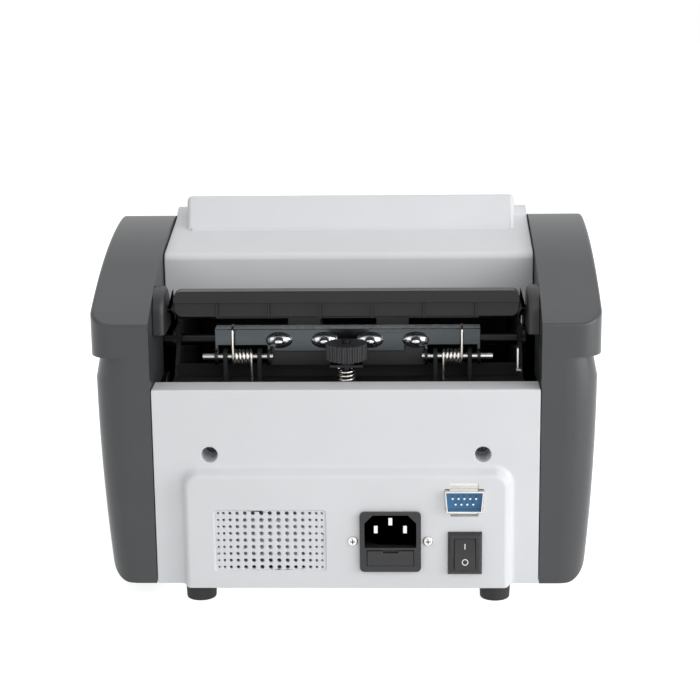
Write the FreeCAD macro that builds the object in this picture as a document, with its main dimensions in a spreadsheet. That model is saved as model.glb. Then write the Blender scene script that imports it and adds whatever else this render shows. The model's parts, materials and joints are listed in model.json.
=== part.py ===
import FreeCAD, Part
import math
import os

import Sketcher

Vector = FreeCAD.Vector

# Driving dimensions in millimetres and degrees.
# Heights are above the underside of the casing, and Y runs from the front to the rear of the machine.
DIMENSIONS = {
    # Casing
    "foot_height": 8.5,
    "foot_radius": 7.6,
    "foot_spacing": 142.8,
    "foot_inset": 12.0,
    "foot_taper": 0.45,
    "casing_depth": 230.0,
    "seam_half": 92.4,
    "seam_gap": 0.4,
    "shell_wall": 2.5,
    "base_wall": 2.5,
    # Side covers
    "visor_half": 121.0,
    "cover_half": 117.3,
    "cover_corner": 15.0,
    "visor_corner": 12.0,
    "cover_hem": 10.0,
    "visor_edge": 2.0,
    "visor_height": 112.5,
    "shoulder_height": 128.5,
    "crown_height": 159.5,
    "crown_setback": 116.5,
    "crown_bulge": 7.2,
    "brow_radius": 47.7,
    "slope_angle": 39.0,
    "nose_radius": 24.0,
    "cover_toe": 14.0,
    "cover_front_inset": 3.5,
    "cover_front_corner": 8.0,
    "bay_wall": 2.0,
    "bay_window": 12.0,
    "bay_margin": 8.0,
    # Rear panel
    "panel_height": 97.0,
    "panel_edge": 1.2,
    "plateau_rise": 6.5,
    "plateau_half": 76.5,
    "plateau_height": 56.3,
    "plateau_corner": 6.0,
    "plateau_draft": 22.0,
    "plateau_blend": 2.4,
    "ledge_depth": 15.4,
    "panel_screw_spacing": 130.2,
    "panel_screw_height": 65.1,
    "panel_screw_hole": 7.8,
    "panel_screw_depth": 15.0,
    "vent_centre": 36.5,
    "vent_height": 24.1,
    "vent_width": 53.4,
    "vent_tall": 30.5,
    "vent_recess": 0.6,
    "vent_corner": 1.5,
    "vent_spread": 53.0,
    "vent_columns": 15,
    "vent_rows": 9,
    "vent_column_reach": 24.8,
    "vent_row_pitch": 3.4,
    "vent_hole_large": 2.0,
    "vent_hole_small": 1.0,
    # Power inlet, serial port and switch, measured from the centre line
    "socket_centre": -21.0,
    "socket_height": 24.0,
    "socket_width": 29.2,
    "socket_tall": 29.8,
    "socket_flange": 2.0,
    "socket_corner": 2.2,
    "socket_depth": 20.0,
    "socket_mouth_width": 24.7,
    "socket_mouth_tall": 16.3,
    "socket_mouth_rise": 5.4,
    "socket_mouth_chamfer": 4.0,
    "socket_mouth_depth": 15.0,
    "blade_pitch": 14.0,
    "blade_earth_rise": 4.0,
    "blade_length": 12.0,
    "blade_width": 2.0,
    "blade_tall": 4.0,
    "fuse_width": 22.0,
    "fuse_tall": 7.4,
    "fuse_drop": 7.9,
    "fuse_depth": 17.0,
    "inlet_screw_spacing": 35.9,
    "inlet_screw_head": 2.4,
    "serial_centre": -56.1,
    "serial_height": 44.5,
    "serial_width": 17.3,
    "serial_tall": 9.2,
    "serial_sheet": 0.5,
    "serial_proud": 3.4,
    "serial_relief_width": 13.3,
    "serial_relief_tall": 16.5,
    "serial_slant": 0.8,
    "serial_flange_width": 30.4,
    "serial_flange_tall": 18.5,
    "serial_pin_pitch": 2.77,
    "serial_row_offset": 1.42,
    "serial_pin_radius": 0.5,
    "switch_centre": -56.5,
    "switch_height": 18.2,
    "switch_width": 16.2,
    "switch_tall": 21.1,
    "switch_bezel": 2.2,
    "switch_bevel": 1.2,
    "switch_depth": 16.0,
    "rocker_width": 9.9,
    "rocker_tall": 14.4,
    "rocker_proud": 2.6,
    "rocker_sunk": 1.4,
    "rocker_depth": 5.0,
    "rocker_back": 4.0,
    # Top cover
    "wall_setback": 63.5,
    "deck_height": 149.8,
    "deck_rise": 6.2,
    "deck_edge": 3.0,
    "wall_foot": 123.5,
    "hood_half": 84.6,
    "hood_setback": 101.5,
    "hood_lean": 4.0,
    "hood_height": 172.5,
    "hood_blend": 7.0,
    "hood_fall": 6.0,
    "hood_edge": 2.6,
    "shoulder_block_height": 162.5,
    "shoulder_block_run": 12.0,
    # Front console
    "console_proud": 4.0,
    "console_length": 99.0,
    "console_notch": 11.0,
    "console_lip": 10.0,
    "window_width": 92.0,
    "window_tall": 32.0,
    "window_drop": 32.0,
    "window_proud": 0.4,
    "key_width": 24.0,
    "key_tall": 13.0,
    "key_pitch": 36.0,
    "key_drop": 78.0,
    "key_proud": 1.6,
    "key_stem": 4.0,
    "board_drop": 7.4,
    "board_wall": 1.6,
    # Stacker
    "apron_reach": 4.8,
    "stacker_floor_height": 14.0,
    "stacker_lip": 10.0,
    "stacker_wall": 2.0,
    "stacker_back_gap": 4.0,
    "wheel_radius": 36.0,
    "wheel_hub": 11.0,
    "wheel_width": 10.0,
    "wheel_spacing": 64.0,
    "wheel_fin_wall": 1.4,
    "wheel_fins": 12,
    "wheel_slot_margin": 0.9,
    "fin_lean": 42.0,
    "fin_bow": 15.0,
    "fin_root": 8.0,
    "wheel_setback": 58.0,
    "wheel_drop": 18.0,
    # Chassis
    "plate_half": 84.4,
    "plate_wall": 2.0,
    "crossmember_height": 89.5,
    "crossmember_wall": 2.0,
    "tie_rod_radius": 4.0,
    # Hopper
    "rim_setback": 23.5,
    "rim_height": 139.6,
    "rim_tall": 5.9,
    "rim_depth": 4.0,
    "rim_corner": 4.0,
    "tray_half": 83.1,
    "tray_wall": 3.0,
    "tray_band": 7.5,
    "tray_rib_wall": 1.0,
    "tray_rib_pitch": 24.9,
    "tray_ribs": 6,
    "tray_clearance": 6.0,
    "cheek_wall": 5.9,
    "cheek_height": 141.0,
    "cheek_drop": 21.5,
    "cheek_depth": 26.0,
    "cheek_round": 12.0,
    "cheek_edge": 2.5,
    # Gap adjuster
    "pivot_setback": 37.5,
    "pivot_height": 103.8,
    "pivot_radius": 1.5,
    "bracket_half": 65.0,
    "bracket_sheet": 1.5,
    "bracket_height": 117.5,
    "bracket_flange": 9.0,
    "bracket_lip_reach": 20.0,
    "bracket_tab_half": 8.0,
    "bracket_skirt_near": -28.0,
    "bracket_skirt_far": 36.0,
    "bracket_skirt_rise": 2.1,
    "ear_inner": 38.5,
    "ear_radius": 4.0,
    "lug_inner": 43.0,
    "lug_outer": 59.8,
    "lug_wall": 2.0,
    "pin_inner": 36.5,
    "pin_outer": 71.0,
    "retard_half": 37.3,
    "retard_depth": 8.0,
    "retard_tall": 17.0,
    "pad_wall": 2.0,
    "retard_screw_pitch": 22.3,
    "retard_screw_radius": 1.5,
    "dimple_radius": 3.6,
    "dimple_rise": 2.2,
    "dimple_top": 2.2,
    "knob_radius": 10.0,
    "knob_lift": 1.6,
    "knob_tall": 8.0,
    "knob_groove": 0.8,
    "knob_grooves": 24,
    "stud_radius": 2.0,
    "stud_top": 2.0,
    "washer_radius": 4.6,
    "coil_wire": 1.1,
    "coil_radius": 3.75,
    "coil_turns": 5,
    "twist_wire": 1.3,
    "twist_radius": 3.3,
    "twist_turns": 5,
    "twist_pitch": 1.8,
    # Transport
    "nip_gap": 0.5,
    "feed_radius": 16.0,
    "feed_drop": 1.7,
    "roller_width": 16.0,
    "roller_spacing": 44.0,
    "transport_radius": 16.0,
    "transport_setback": 22.6,
    "transport_drop": 34.0,
    "pinch_radius": 8.0,
    "shaft_radius": 3.0,
    "pinch_axle": 2.0,
    "bearing_radius": 6.0,
    "bearing_wide": 4.0,
    "guide_wall": 1.5,
    "guide_gap": 4.0,
    "guide_bend": 30.0,
    "lane_start": 95.0,
    "lane_pitch": 6.0,
    "belt_wide": 5.0,
    "belt_wall": 1.2,
    "pulley_radius": 11.0,
    "stacker_pulley": 17.0,
    "motor_pulley_radius": 7.0,
    "motor_radius": 18.0,
    "motor_length": 50.0,
    "motor_setback": 48.5,
    "motor_height": 31.5,
    # Electrics
    "board_width": 100.0,
    "board_long": 72.0,
    "board_standoff": 5.0,
    "transformer_width": 48.0,
    "transformer_deep": 18.0,
    "transformer_tall": 39.0,
    "winding_width": 26.4,
    "winding_proud": 3.5,
    "winding_tall": 23.4,
    "capacitor_radius": 7.0,
    "capacitor_tall": 15.0,
    "capacitor_across": 80.0,
    "capacitor_along": 54.0,
    "small_capacitor_radius": 4.5,
    "small_capacitor_tall": 10.5,
    "small_capacitor_across": 60.0,
    "small_capacitor_along": 57.6,
    "sink_across": 35.0,
    "sink_along": 57.6,
    "sink_width": 20.0,
    "sink_deep": 8.6,
    "sink_tall": 15.0,
    "processor_across": 30.0,
    "processor_along": 25.2,
    "processor_width": 18.0,
    "processor_tall": 2.4,
    "plug_across": 70.0,
    "plug_along": 14.4,
    "plug_width": 30.0,
    "plug_deep": 7.2,
    "plug_tall": 9.0,
    # Fits
    "play": 0.3,
    "running_fit": 0.05,
    "belt_gap": 0.3,
}


class Size:
    """A number that remembers which cells of the sheet it was worked out from."""

    def __init__(self, value, text):
        self.value = value
        self.text = text

    def __add__(self, other):
        other = as_size(other)
        return Size(self.value + other.value, f"({self.text} + {other.text})")

    def __radd__(self, other):
        return as_size(other) + self

    def __sub__(self, other):
        other = as_size(other)
        return Size(self.value - other.value, f"({self.text} - {other.text})")

    def __rsub__(self, other):
        return as_size(other) - self

    def __mul__(self, other):
        other = as_size(other)
        return Size(self.value * other.value, f"({self.text} * {other.text})")

    def __rmul__(self, other):
        return as_size(other) * self

    def __truediv__(self, other):
        other = as_size(other)
        return Size(self.value / other.value, f"({self.text} / {other.text})")

    def __rtruediv__(self, other):
        return as_size(other) / self

    def __neg__(self):
        return Size(-self.value, f"(0 - {self.text})")


def as_size(item):
    """Any number as a Size."""
    if isinstance(item, Size):
        return item
    return Size(float(item), f"({float(item):.9f})")


def sin_of(angle):
    """Sine of an angle in degrees."""
    angle = as_size(angle)
    return Size(math.sin(math.radians(angle.value)), f"sin({angle.text})")


def cos_of(angle):
    """Cosine of an angle in degrees."""
    angle = as_size(angle)
    return Size(math.cos(math.radians(angle.value)), f"cos({angle.text})")


class Dimensions:
    """The sheet's cells, read by name."""

    def __init__(self, sheet):
        self.sheet = sheet

    def __getattr__(self, name):
        return Size(float(self.sheet.get(name)), f"{self.sheet.Name}.{name}")


doc = FreeCAD.newDocument("banknote_counter")
sheet = doc.addObject("Spreadsheet::Sheet", "Sizes")
for row, (alias, amount) in enumerate(DIMENSIONS.items(), start=1):
    sheet.set(f"A{row}", alias)
    sheet.set(f"B{row}", str(amount))
    sheet.setAlias(f"B{row}", alias)
doc.recompute()
D = Dimensions(sheet)
NODES = []


# Building blocks

def tie(item, name, size):
    """Bind one property of a document object to the sheet."""
    item.setExpression(name, as_size(size).text)


def node(label, item):
    """Name a finished piece."""
    item.Label = label
    NODES.append(item)
    return item


def box(name, x, y, z):
    """A block between pairs of coordinates along X, Y and Z."""
    item = doc.addObject("Part::Box", name)
    for side, axis, (low, high) in zip(("Length", "Width", "Height"), "xyz", (x, y, z)):
        tie(item, side, as_size(high) - low)
        tie(item, "Placement.Base." + axis, low)
    return item


ROD_TURNS = {
    "x": FreeCAD.Rotation(Vector(0, 1, 0), 90),
    "y": FreeCAD.Rotation(Vector(1, 0, 0), -90),
    "z": FreeCAD.Rotation(),
}


def stand(item, axis, start, centre):
    """Turn a round primitive to an axis and put its first end in place."""
    item.Placement = FreeCAD.Placement(Vector(), ROD_TURNS[axis])
    places = list(centre)
    places.insert("xyz".index(axis), start)
    for letter, place in zip("xyz", places):
        tie(item, "Placement.Base." + letter, place)


def rod(name, axis, radius, start, end, centre):
    """A round bar along an axis; centre holds its other two coordinates in order."""
    item = doc.addObject("Part::Cylinder", name)
    tie(item, "Radius", radius)
    tie(item, "Height", as_size(end) - start)
    stand(item, axis, start, centre)
    return item


def cone(name, axis, first, last, start, end, centre):
    """A cone along an axis, with its radius at each end."""
    item = doc.addObject("Part::Cone", name)
    tie(item, "Radius1", first)
    tie(item, "Radius2", last)
    tie(item, "Height", as_size(end) - start)
    stand(item, axis, start, centre)
    return item


def fuse(name, *pieces):
    """Pieces that overlap or touch, as one solid."""
    item = doc.addObject("Part::MultiFuse", name)
    item.Shapes = list(pieces)
    return item


def cut(name, base, *tools):
    """A piece with other shapes taken out of it."""
    item = doc.addObject("Part::Cut", name)
    item.Base = base
    item.Tool = tools[0] if len(tools) == 1 else fuse(name + "_tools", *tools)
    return item


def group(name, *pieces):
    """Separate solids that share one node."""
    item = doc.addObject("Part::Compound", name)
    item.Links = list(pieces)
    return item


def mirror(name, piece):
    """The same piece on the other side of the centre plane."""
    item = doc.addObject("Part::Mirroring", name)
    item.Source = piece
    item.Normal = Vector(1, 0, 0)
    return item


def tube(name, axis, outer, inner, start, end, centre):
    """A round bar with a bore."""
    bar = rod(name + "_bar", axis, outer, start, end, centre)
    bore = rod(name + "_bore", axis, inner, start, end, centre)
    return cut(name, bar, bore)


def draw(body, name, role, level, path):
    """A closed outline on one of the body's planes, lifted to a level.

    A point of two numbers is reached by a straight run, and one of four by an arc through its last two.
    """
    sketch = body.newObject("Sketcher::SketchObject", name)
    plane = [item for item in body.Origin.OriginFeatures if item.Role == role][0]
    sketch.AttachmentSupport = [(plane, "")]
    sketch.MapMode = "FlatFace"
    tie(sketch, "AttachmentOffset.Base.z", level)
    path = [tuple(as_size(place) for place in point) for point in path]
    spots = [Vector(point[0].value, point[1].value, 0) for point in path]
    last_ends = []
    for index, point in enumerate(path):
        if len(point) == 4:
            through = Vector(point[2].value, point[3].value, 0)
            first, last = spots[index - 1], spots[index]
            clockwise = (through - first).cross(last - through).z < 0
            run = Part.Arc(last, through, first) if clockwise else Part.Arc(first, through, last)
        else:
            run = Part.LineSegment(spots[index - 1], spots[index])
        sketch.addGeometry(run, False)
        ends_there = sketch.Geometry[index].EndPoint.isEqual(spots[index], 1e-6)
        last_ends.append(2 if ends_there else 1)

    def pin(geometry, end, u, v):
        for kind, place in (("DistanceX", u), ("DistanceY", v)):
            rule = sketch.addConstraint(Sketcher.Constraint(kind, -1, 1, geometry, end, place.value))
            tie(sketch, f"Constraints[{rule}]", place)

    for index, point in enumerate(path):
        following = (index + 1) % len(path)
        first_end = 3 - last_ends[following]
        sketch.addConstraint(Sketcher.Constraint("Coincident", index, last_ends[index], following, first_end))
        pin(index, last_ends[index], point[0], point[1])
    for index, point in enumerate(path):
        if len(point) == 4:
            marker = sketch.addGeometry(Part.Point(Vector(point[2].value, point[3].value, 0)), True)
            pin(marker, 1, point[2], point[3])
            sketch.addConstraint(Sketcher.Constraint("PointOnObject", marker, 1, index))
    return sketch


def pad(body, name, sketch, length):
    """A sketch raised into a solid."""
    item = body.newObject("PartDesign::Pad", name)
    item.Profile = sketch
    tie(item, "Length", length)
    return item


def prism(name, role, low, high, path):
    """A body with one outline, running between two levels across its plane."""
    body = doc.addObject("PartDesign::Body", name)
    level = -as_size(high) if role == "XZ_Plane" else low
    sketch = draw(body, name + "_outline", role, level, path)
    pad(body, name + "_pad", sketch, as_size(high) - low)
    return body


def soften(body, name, radius, pick):
    """Round the edges of a body whose bounding boxes are picked."""
    doc.recompute()
    tip = body.Tip
    edges = [f"Edge{index}" for index, edge in enumerate(tip.Shape.Edges, start=1) if pick(edge.BoundBox)]
    if not edges:
        raise ValueError(f"{name}: no edge to round")
    item = body.newObject("PartDesign::Fillet", name)
    item.Base = (tip, edges)
    tie(item, "Radius", radius)
    return item


def same(first, second):
    """Whether two lengths agree, for picking edges by place."""
    return abs(as_size(first).value - as_size(second).value) < TOUCH


def span(centre, width):
    """The two ends of a width about its centre."""
    return (centre - width / 2, centre + width / 2)


def round_outline(u, v, radius):
    """A circle as two arcs."""
    return [(u + radius, v, u, v - radius), (u - radius, v, u, v + radius)]


CORNER = 1 - math.sqrt(0.5)


def rounded_outline(left, right, low, high, radius):
    """A rectangle with rounded corners."""
    bend = radius * CORNER
    return [
        (left + radius, low),
        (right - radius, low),
        (right, low + radius, right - bend, low + bend),
        (right, high - radius),
        (right - radius, high, right - bend, high - bend),
        (left + radius, high),
        (left, high - radius, left + bend, high - bend),
        (left, low + radius),
        (left + radius, low, left + bend, low + bend),
    ][1:]


# Places that several pieces share

def above(height):
    """A height above the ground of something measured from the underside of the casing."""
    return D.foot_height + height


BASE = D.foot_height
REAR = D.casing_depth / 2
FRONT = -D.casing_depth / 2
PANEL = REAR - D.plateau_rise
PANEL_INNER = PANEL - D.shell_wall
LEDGE = PANEL - D.ledge_depth
INSIDE = D.seam_half - D.seam_gap
FLOOR_TOP = BASE + D.base_wall

COVER_FRONT = FRONT + D.cover_front_inset
CROWN = PANEL - D.crown_setback
TILT_SIN = sin_of(D.slope_angle)
TILT_COS = cos_of(D.slope_angle)
TILT_TAN = TILT_SIN / TILT_COS
HALF_SIN = sin_of(D.slope_angle / 2)
HALF_COS = cos_of(D.slope_angle / 2)
BROW_Y = CROWN - D.brow_radius * TILT_SIN
BROW_Z = above(D.crown_height) - D.brow_radius * (1 - TILT_COS)

HOOD_TOP = above(D.hood_height)
CONSOLE_TOP_Z = HOOD_TOP - D.hood_fall
CONSOLE_TOP_Y = BROW_Y + (CONSOLE_TOP_Z - BROW_Z - D.console_proud / TILT_COS) / TILT_TAN
CONSOLE_END_Y = CONSOLE_TOP_Y - D.console_length * TILT_COS
CONSOLE_END_Z = CONSOLE_TOP_Z - D.console_length * TILT_SIN

WALL = PANEL - D.wall_setback
HOOD = PANEL - D.hood_setback
DECK = above(D.deck_height)
DECK_SLOPE = D.deck_rise / (WALL - HOOD)

PIVOT_Y = PANEL - D.pivot_setback
PIVOT_Z = above(D.pivot_height)
WEB_REAR = PIVOT_Y - D.bracket_sheet / 2
WEB_FRONT = WEB_REAR - D.bracket_sheet
BLOCK_FRONT = WEB_FRONT - D.retard_depth
PAD_FRONT = BLOCK_FRONT - D.pad_wall
KNOB_Y = PANEL - D.rim_setback
LIP_TOP = PIVOT_Z + D.play
WASHER_FOOT = LIP_TOP + D.play
KNOB_FOOT = WASHER_FOOT + D.knob_lift + D.running_fit

FEED_Y = PAD_FRONT - D.nip_gap - D.feed_radius
FEED_Z = PIVOT_Z + D.feed_drop
TRANSPORT_Y = FEED_Y - D.transport_setback
TRANSPORT_Z = FEED_Z - D.transport_drop
NIP_Z = TRANSPORT_Z - D.transport_radius - D.nip_gap
PINCH_Z = NIP_Z - D.pinch_radius
GUIDE_Z = NIP_Z - D.guide_gap
WHEEL_Y = TRANSPORT_Y - D.wheel_setback
WHEEL_Z = TRANSPORT_Z - D.wheel_drop
MOTOR_Y = PANEL - D.motor_setback
MOTOR_Z = above(D.motor_height)
CROSS_TOP = above(D.crossmember_height) + D.crossmember_wall
CROSS_FRONT = BLOCK_FRONT + D.guide_wall + D.play
PLATE_OUTER = D.plate_half + D.plate_wall
STACKER_BACK_Y = WHEEL_Y - D.wheel_hub - D.stacker_back_gap
STACKER_MOUTH = CONSOLE_END_Z - D.console_lip
STACKER_FLOOR = above(D.stacker_floor_height)
APRON = FRONT - D.apron_reach
CHASSIS_FRONT = STACKER_BACK_Y + D.stacker_wall + D.play
CHASSIS_REAR = LEDGE - D.play
FLANGE_TOP = above(D.bracket_height)
FLANGE_FOOT = FLANGE_TOP - D.bracket_sheet
BEZEL = REAR + D.switch_bezel
MOUTH_FACE = REAR + D.socket_flange


# Side covers

SPARE = 1.0
TOUCH = 0.01
BULGE = math.sqrt(0.5)


def corner_sliver(name, role, low, high, corner, radius, outward):
    """What rounding a corner takes away; outward says which way the corner points."""
    u, v = corner
    out_u, out_v = outward
    bend = radius * CORNER
    path = [
        (u + SPARE * out_u, v + SPARE * out_v),
        (u - radius * out_u, v + SPARE * out_v),
        (u - radius * out_u, v),
        (u, v - radius * out_v, u - bend * out_u, v - bend * out_v),
        (u + SPARE * out_u, v - radius * out_v),
    ]
    return prism(name, role, low, high, path)


def cover_rise(inset):
    """The rear shoulder, crown and brow that the cover and its visor share."""
    rear = PANEL - inset
    shoulder = above(D.shoulder_height) - inset
    crown = above(D.crown_height) - inset
    middle_y = (rear + CROWN) / 2
    middle_z = (shoulder + crown) / 2 + D.crown_bulge
    brow_middle_y = CROWN - D.brow_radius * HALF_SIN
    brow_middle_z = crown - D.brow_radius * (1 - HALF_COS)
    return [
        (rear, shoulder),
        (CROWN, crown, middle_y, middle_z),
        (BROW_Y, BROW_Z - inset, brow_middle_y, brow_middle_z),
    ]


def cover_outline(inset):
    """The cover seen from its side."""
    front = COVER_FRONT + inset
    foot = BASE + inset
    toe = D.cover_toe - inset
    nose_y = front + D.nose_radius * (1 - TILT_SIN)
    nose_z = BROW_Z - inset - (BROW_Y - nose_y) * TILT_TAN
    chin_z = nose_z - D.nose_radius * TILT_COS
    lean = D.slope_angle / 2 + 45
    nose_middle_y = front + D.nose_radius * (1 - sin_of(lean))
    nose_middle_z = nose_z - D.nose_radius * (TILT_COS - cos_of(lean))
    return [(PANEL - inset, foot)] + cover_rise(inset) + [
        (nose_y, nose_z),
        (front, chin_z, nose_middle_y, nose_middle_z),
        (front, foot + toe),
        (front + toe, foot, front + toe * CORNER, foot + toe * CORNER),
    ]


def visor_outline(inset):
    """The part of the cover that overhangs, seen from its side."""
    edge = above(D.visor_height) + inset
    front = BROW_Y - (BROW_Z - inset - edge) / TILT_TAN
    return [(PANEL - inset, edge)] + cover_rise(inset) + [(front, edge)]


def cover_block(name, inset, inner):
    """The cover's outer form, or its hollow where inset is the wall."""
    outer = D.cover_half - inset
    visor_outer = D.visor_half - inset
    rear = PANEL - inset
    front = COVER_FRONT + inset
    heights = (BASE - SPARE, above(D.crown_height) + SPARE)
    lengths = (COVER_FRONT - SPARE, PANEL + SPARE)
    lower = cut(
        name + "_lower",
        prism(name + "_lower_side", "YZ_Plane", inner, outer, cover_outline(inset)),
        corner_sliver(name + "_rear", "XY_Plane", *heights, (outer, rear), D.cover_corner - inset, (1, 1)),
        corner_sliver(name + "_front", "XY_Plane", *heights, (outer, front),
                      D.cover_front_corner - inset, (1, -1)),
        corner_sliver(name + "_hem", "XZ_Plane", *lengths, (outer, BASE + inset),
                      D.cover_hem - inset, (1, -1)),
    )
    visor = cut(
        name + "_visor",
        prism(name + "_visor_side", "YZ_Plane", inner, visor_outer, visor_outline(inset)),
        corner_sliver(name + "_visor_rear", "XY_Plane", *heights, (visor_outer, rear),
                      D.visor_corner - inset, (1, 1)),
    )
    return fuse(name, lower, visor)


def side_covers():
    """The two dark covers, each a hollow shell with windows towards the chassis."""
    outer = doc.addObject("PartDesign::Body", "side_cover_outer")
    outer.BaseFeature = cover_block("side_cover_form", as_size(0), D.seam_half)
    soften(
        outer, "visor_round", D.visor_edge,
        lambda edge: same(edge.XMin, D.visor_half) and same(edge.XMax, D.visor_half) and edge.YLength > SPARE
        and edge.ZMax > above(D.visor_height).value + SPARE,
    )
    hollow = cover_block("side_cover_hollow", D.shell_wall, D.seam_half + D.bay_wall)
    through = (D.seam_half - SPARE, D.seam_half + D.bay_wall + SPARE)
    low_window = box(
        "side_cover_low_window", through, (STACKER_BACK_Y + D.bay_margin, PANEL - D.bay_margin),
        (BASE + D.bay_margin, CROSS_TOP),
    )
    high_window = box(
        "side_cover_high_window", through, (CROWN - D.bay_margin, WALL + D.bay_window),
        (CROSS_TOP - D.bay_margin, FEED_Z + D.pulley_radius + D.bay_margin),
    )
    right = cut("side_cover_shell", outer, hollow, low_window, high_window)
    node("side_cover_right", right)
    node("side_cover_left", mirror("side_cover_mirrored", right))


# Rear panel

def vent_holes():
    """The field of round holes, closer and finer towards both ends of its rows."""
    columns = int(D.vent_columns.value) // 2
    rows = int(D.vent_rows.value) // 2
    spread = math.radians(D.vent_spread.value)
    holes = []
    for column in range(-columns, columns + 1):
        share = column / columns
        offset = D.vent_column_reach.value * math.sin(share * spread) / math.sin(spread)
        fineness = math.cos(share * math.pi / 2)
        small = D.vent_hole_small.value
        radius = (small + (D.vent_hole_large.value - small) * fineness) / 2
        for row in range(-rows, rows + 1):
            spot = Vector(
                D.vent_centre.value + offset,
                (REAR - D.shell_wall).value - SPARE,
                above(D.vent_height).value + row * D.vent_row_pitch.value,
            )
            length = D.shell_wall.value + 2 * SPARE
            holes.append(Part.makeCylinder(radius, length, spot, Vector(0, 1, 0)))
    item = doc.addObject("Part::Feature", "vent_holes")
    item.Shape = Part.makeCompound(holes)
    return item


def serial_outline(spread):
    """The D-shaped outline of the serial connector, grown by a margin."""
    half = D.serial_width / 2 + spread
    slant = D.serial_slant
    low = above(D.serial_height) - D.serial_tall / 2 - spread
    high = above(D.serial_height) + D.serial_tall / 2 + spread
    return [
        (D.serial_centre - half + slant, low),
        (D.serial_centre + half - slant, low),
        (D.serial_centre + half, high),
        (D.serial_centre - half, high),
    ]


def rear_panel():
    """A folded shell with a raised plateau that carries the vent and the electrical fittings."""
    top = BASE + D.panel_height
    edge = D.panel_edge
    bend = edge * CORNER
    sheet_part = prism("rear_panel_sheet", "YZ_Plane", -INSIDE, INSIDE, [
        (PANEL, BASE),
        (PANEL, top - edge),
        (PANEL - edge, top, PANEL - bend, top - bend),
        (LEDGE, top),
        (LEDGE, top - D.shell_wall),
        (PANEL_INNER, top - D.shell_wall),
        (PANEL_INNER, BASE),
    ])
    high = BASE + D.plateau_height
    corner = D.plateau_corner
    bend = corner * CORNER
    plateau = doc.addObject("PartDesign::Body", "rear_plateau")
    outline = draw(plateau, "rear_plateau_outline", "XZ_Plane", -REAR, [
        (-D.plateau_half, BASE),
        (D.plateau_half, BASE),
        (D.plateau_half, high - corner),
        (D.plateau_half - corner, high, D.plateau_half - bend, high - bend),
        (-D.plateau_half + corner, high),
        (-D.plateau_half, high - corner, -D.plateau_half + bend, high - bend),
    ])
    raised = pad(plateau, "rear_plateau_pad", outline, D.plateau_rise + D.shell_wall / 2)
    tie(raised, "TaperAngle", D.plateau_draft)
    below = box("rear_panel_below", (-INSIDE, INSIDE), (LEDGE, REAR + SPARE), (BASE - D.plateau_rise, BASE))
    blank = cut("rear_panel_blank", fuse("rear_panel_raised", sheet_part, plateau), below)
    body = doc.addObject("PartDesign::Body", "rear_panel_body")
    body.BaseFeature = blank
    soften(
        body, "plateau_foot_round", D.plateau_blend,
        lambda edge: same(edge.YMin, PANEL) and same(edge.YMax, PANEL)
        and max(-edge.XMin, edge.XMax) < INSIDE.value - SPARE,
    )
    soften(
        body, "plateau_rim_round", D.plateau_blend,
        lambda edge: same(edge.YMin, REAR) and same(edge.YMax, REAR) and edge.ZMax > BASE.value + SPARE,
    )
    half = D.plateau_half - D.shell_wall
    hollow = box(
        "rear_panel_hollow", (-half, half), (PANEL_INNER - SPARE, REAR - D.shell_wall),
        (BASE + D.shell_wall, high - D.shell_wall),
    )
    bosses = []
    sinks = []
    for side in (-1, 1):
        place = (side * D.panel_screw_spacing / 2, above(D.panel_screw_height))
        wide = D.panel_screw_hole / 2
        deep = PANEL - D.panel_screw_depth
        bosses.append(rod(f"panel_boss_{side + 1}", "y", wide + D.shell_wall / 2, deep - D.shell_wall,
                          PANEL_INNER + SPARE, place))
        sinks.append(rod(f"panel_sink_{side + 1}", "y", wide, deep, PANEL + SPARE, place))
        sinks.append(rod(f"panel_bore_{side + 1}", "y", D.retard_screw_radius + D.running_fit,
                         deep - D.shell_wall - SPARE, deep + SPARE, place))
    hollowed = cut("rear_panel_hollowed", body, hollow)
    recess = prism(
        "vent_recess_block", "XZ_Plane", REAR - D.vent_recess, REAR + SPARE,
        rounded_outline(
            D.vent_centre - D.vent_width / 2, D.vent_centre + D.vent_width / 2,
            above(D.vent_height) - D.vent_tall / 2, above(D.vent_height) + D.vent_tall / 2, D.vent_corner),
    )
    through = (REAR - D.shell_wall - SPARE, REAR + SPARE)
    socket = box(
        "socket_cutout", span(D.socket_centre, D.socket_width - 2 * D.socket_corner + 2 * D.play), through,
        span(above(D.socket_height), D.socket_tall - 2 * D.socket_corner + 2 * D.play),
    )
    switch = box(
        "switch_cutout", span(D.switch_centre, D.switch_width - 4 * D.switch_bevel + 2 * D.play), through,
        span(above(D.switch_height), D.switch_tall - 2 * D.switch_bevel + 2 * D.play),
    )
    serial = prism("serial_cutout", "XZ_Plane", *through, serial_outline(D.serial_sheet + D.play))
    relief = box(
        "serial_relief", span(D.serial_centre, D.serial_relief_width), through,
        span(above(D.serial_height), D.serial_relief_tall),
    )
    for side in (-1, 1):
        place = (D.socket_centre + side * D.inlet_screw_spacing / 2, above(D.socket_height))
        bore = D.retard_screw_radius + D.running_fit
        sinks.append(rod(f"inlet_bore_{side + 1}", "y", bore, *through, place))
    bossed = fuse("rear_panel_bossed", hollowed, *bosses)
    opened = cut("rear_panel_opened", bossed, recess, socket, switch, fuse("serial_opening", serial, relief),
                 *sinks)
    node("rear_panel", cut("rear_panel_vented", opened, vent_holes()))


# Top cover, console and stacker

def deck_at(y):
    """The height of the sloping deck at a place along the machine."""
    return DECK + (WALL - y) * DECK_SLOPE


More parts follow.
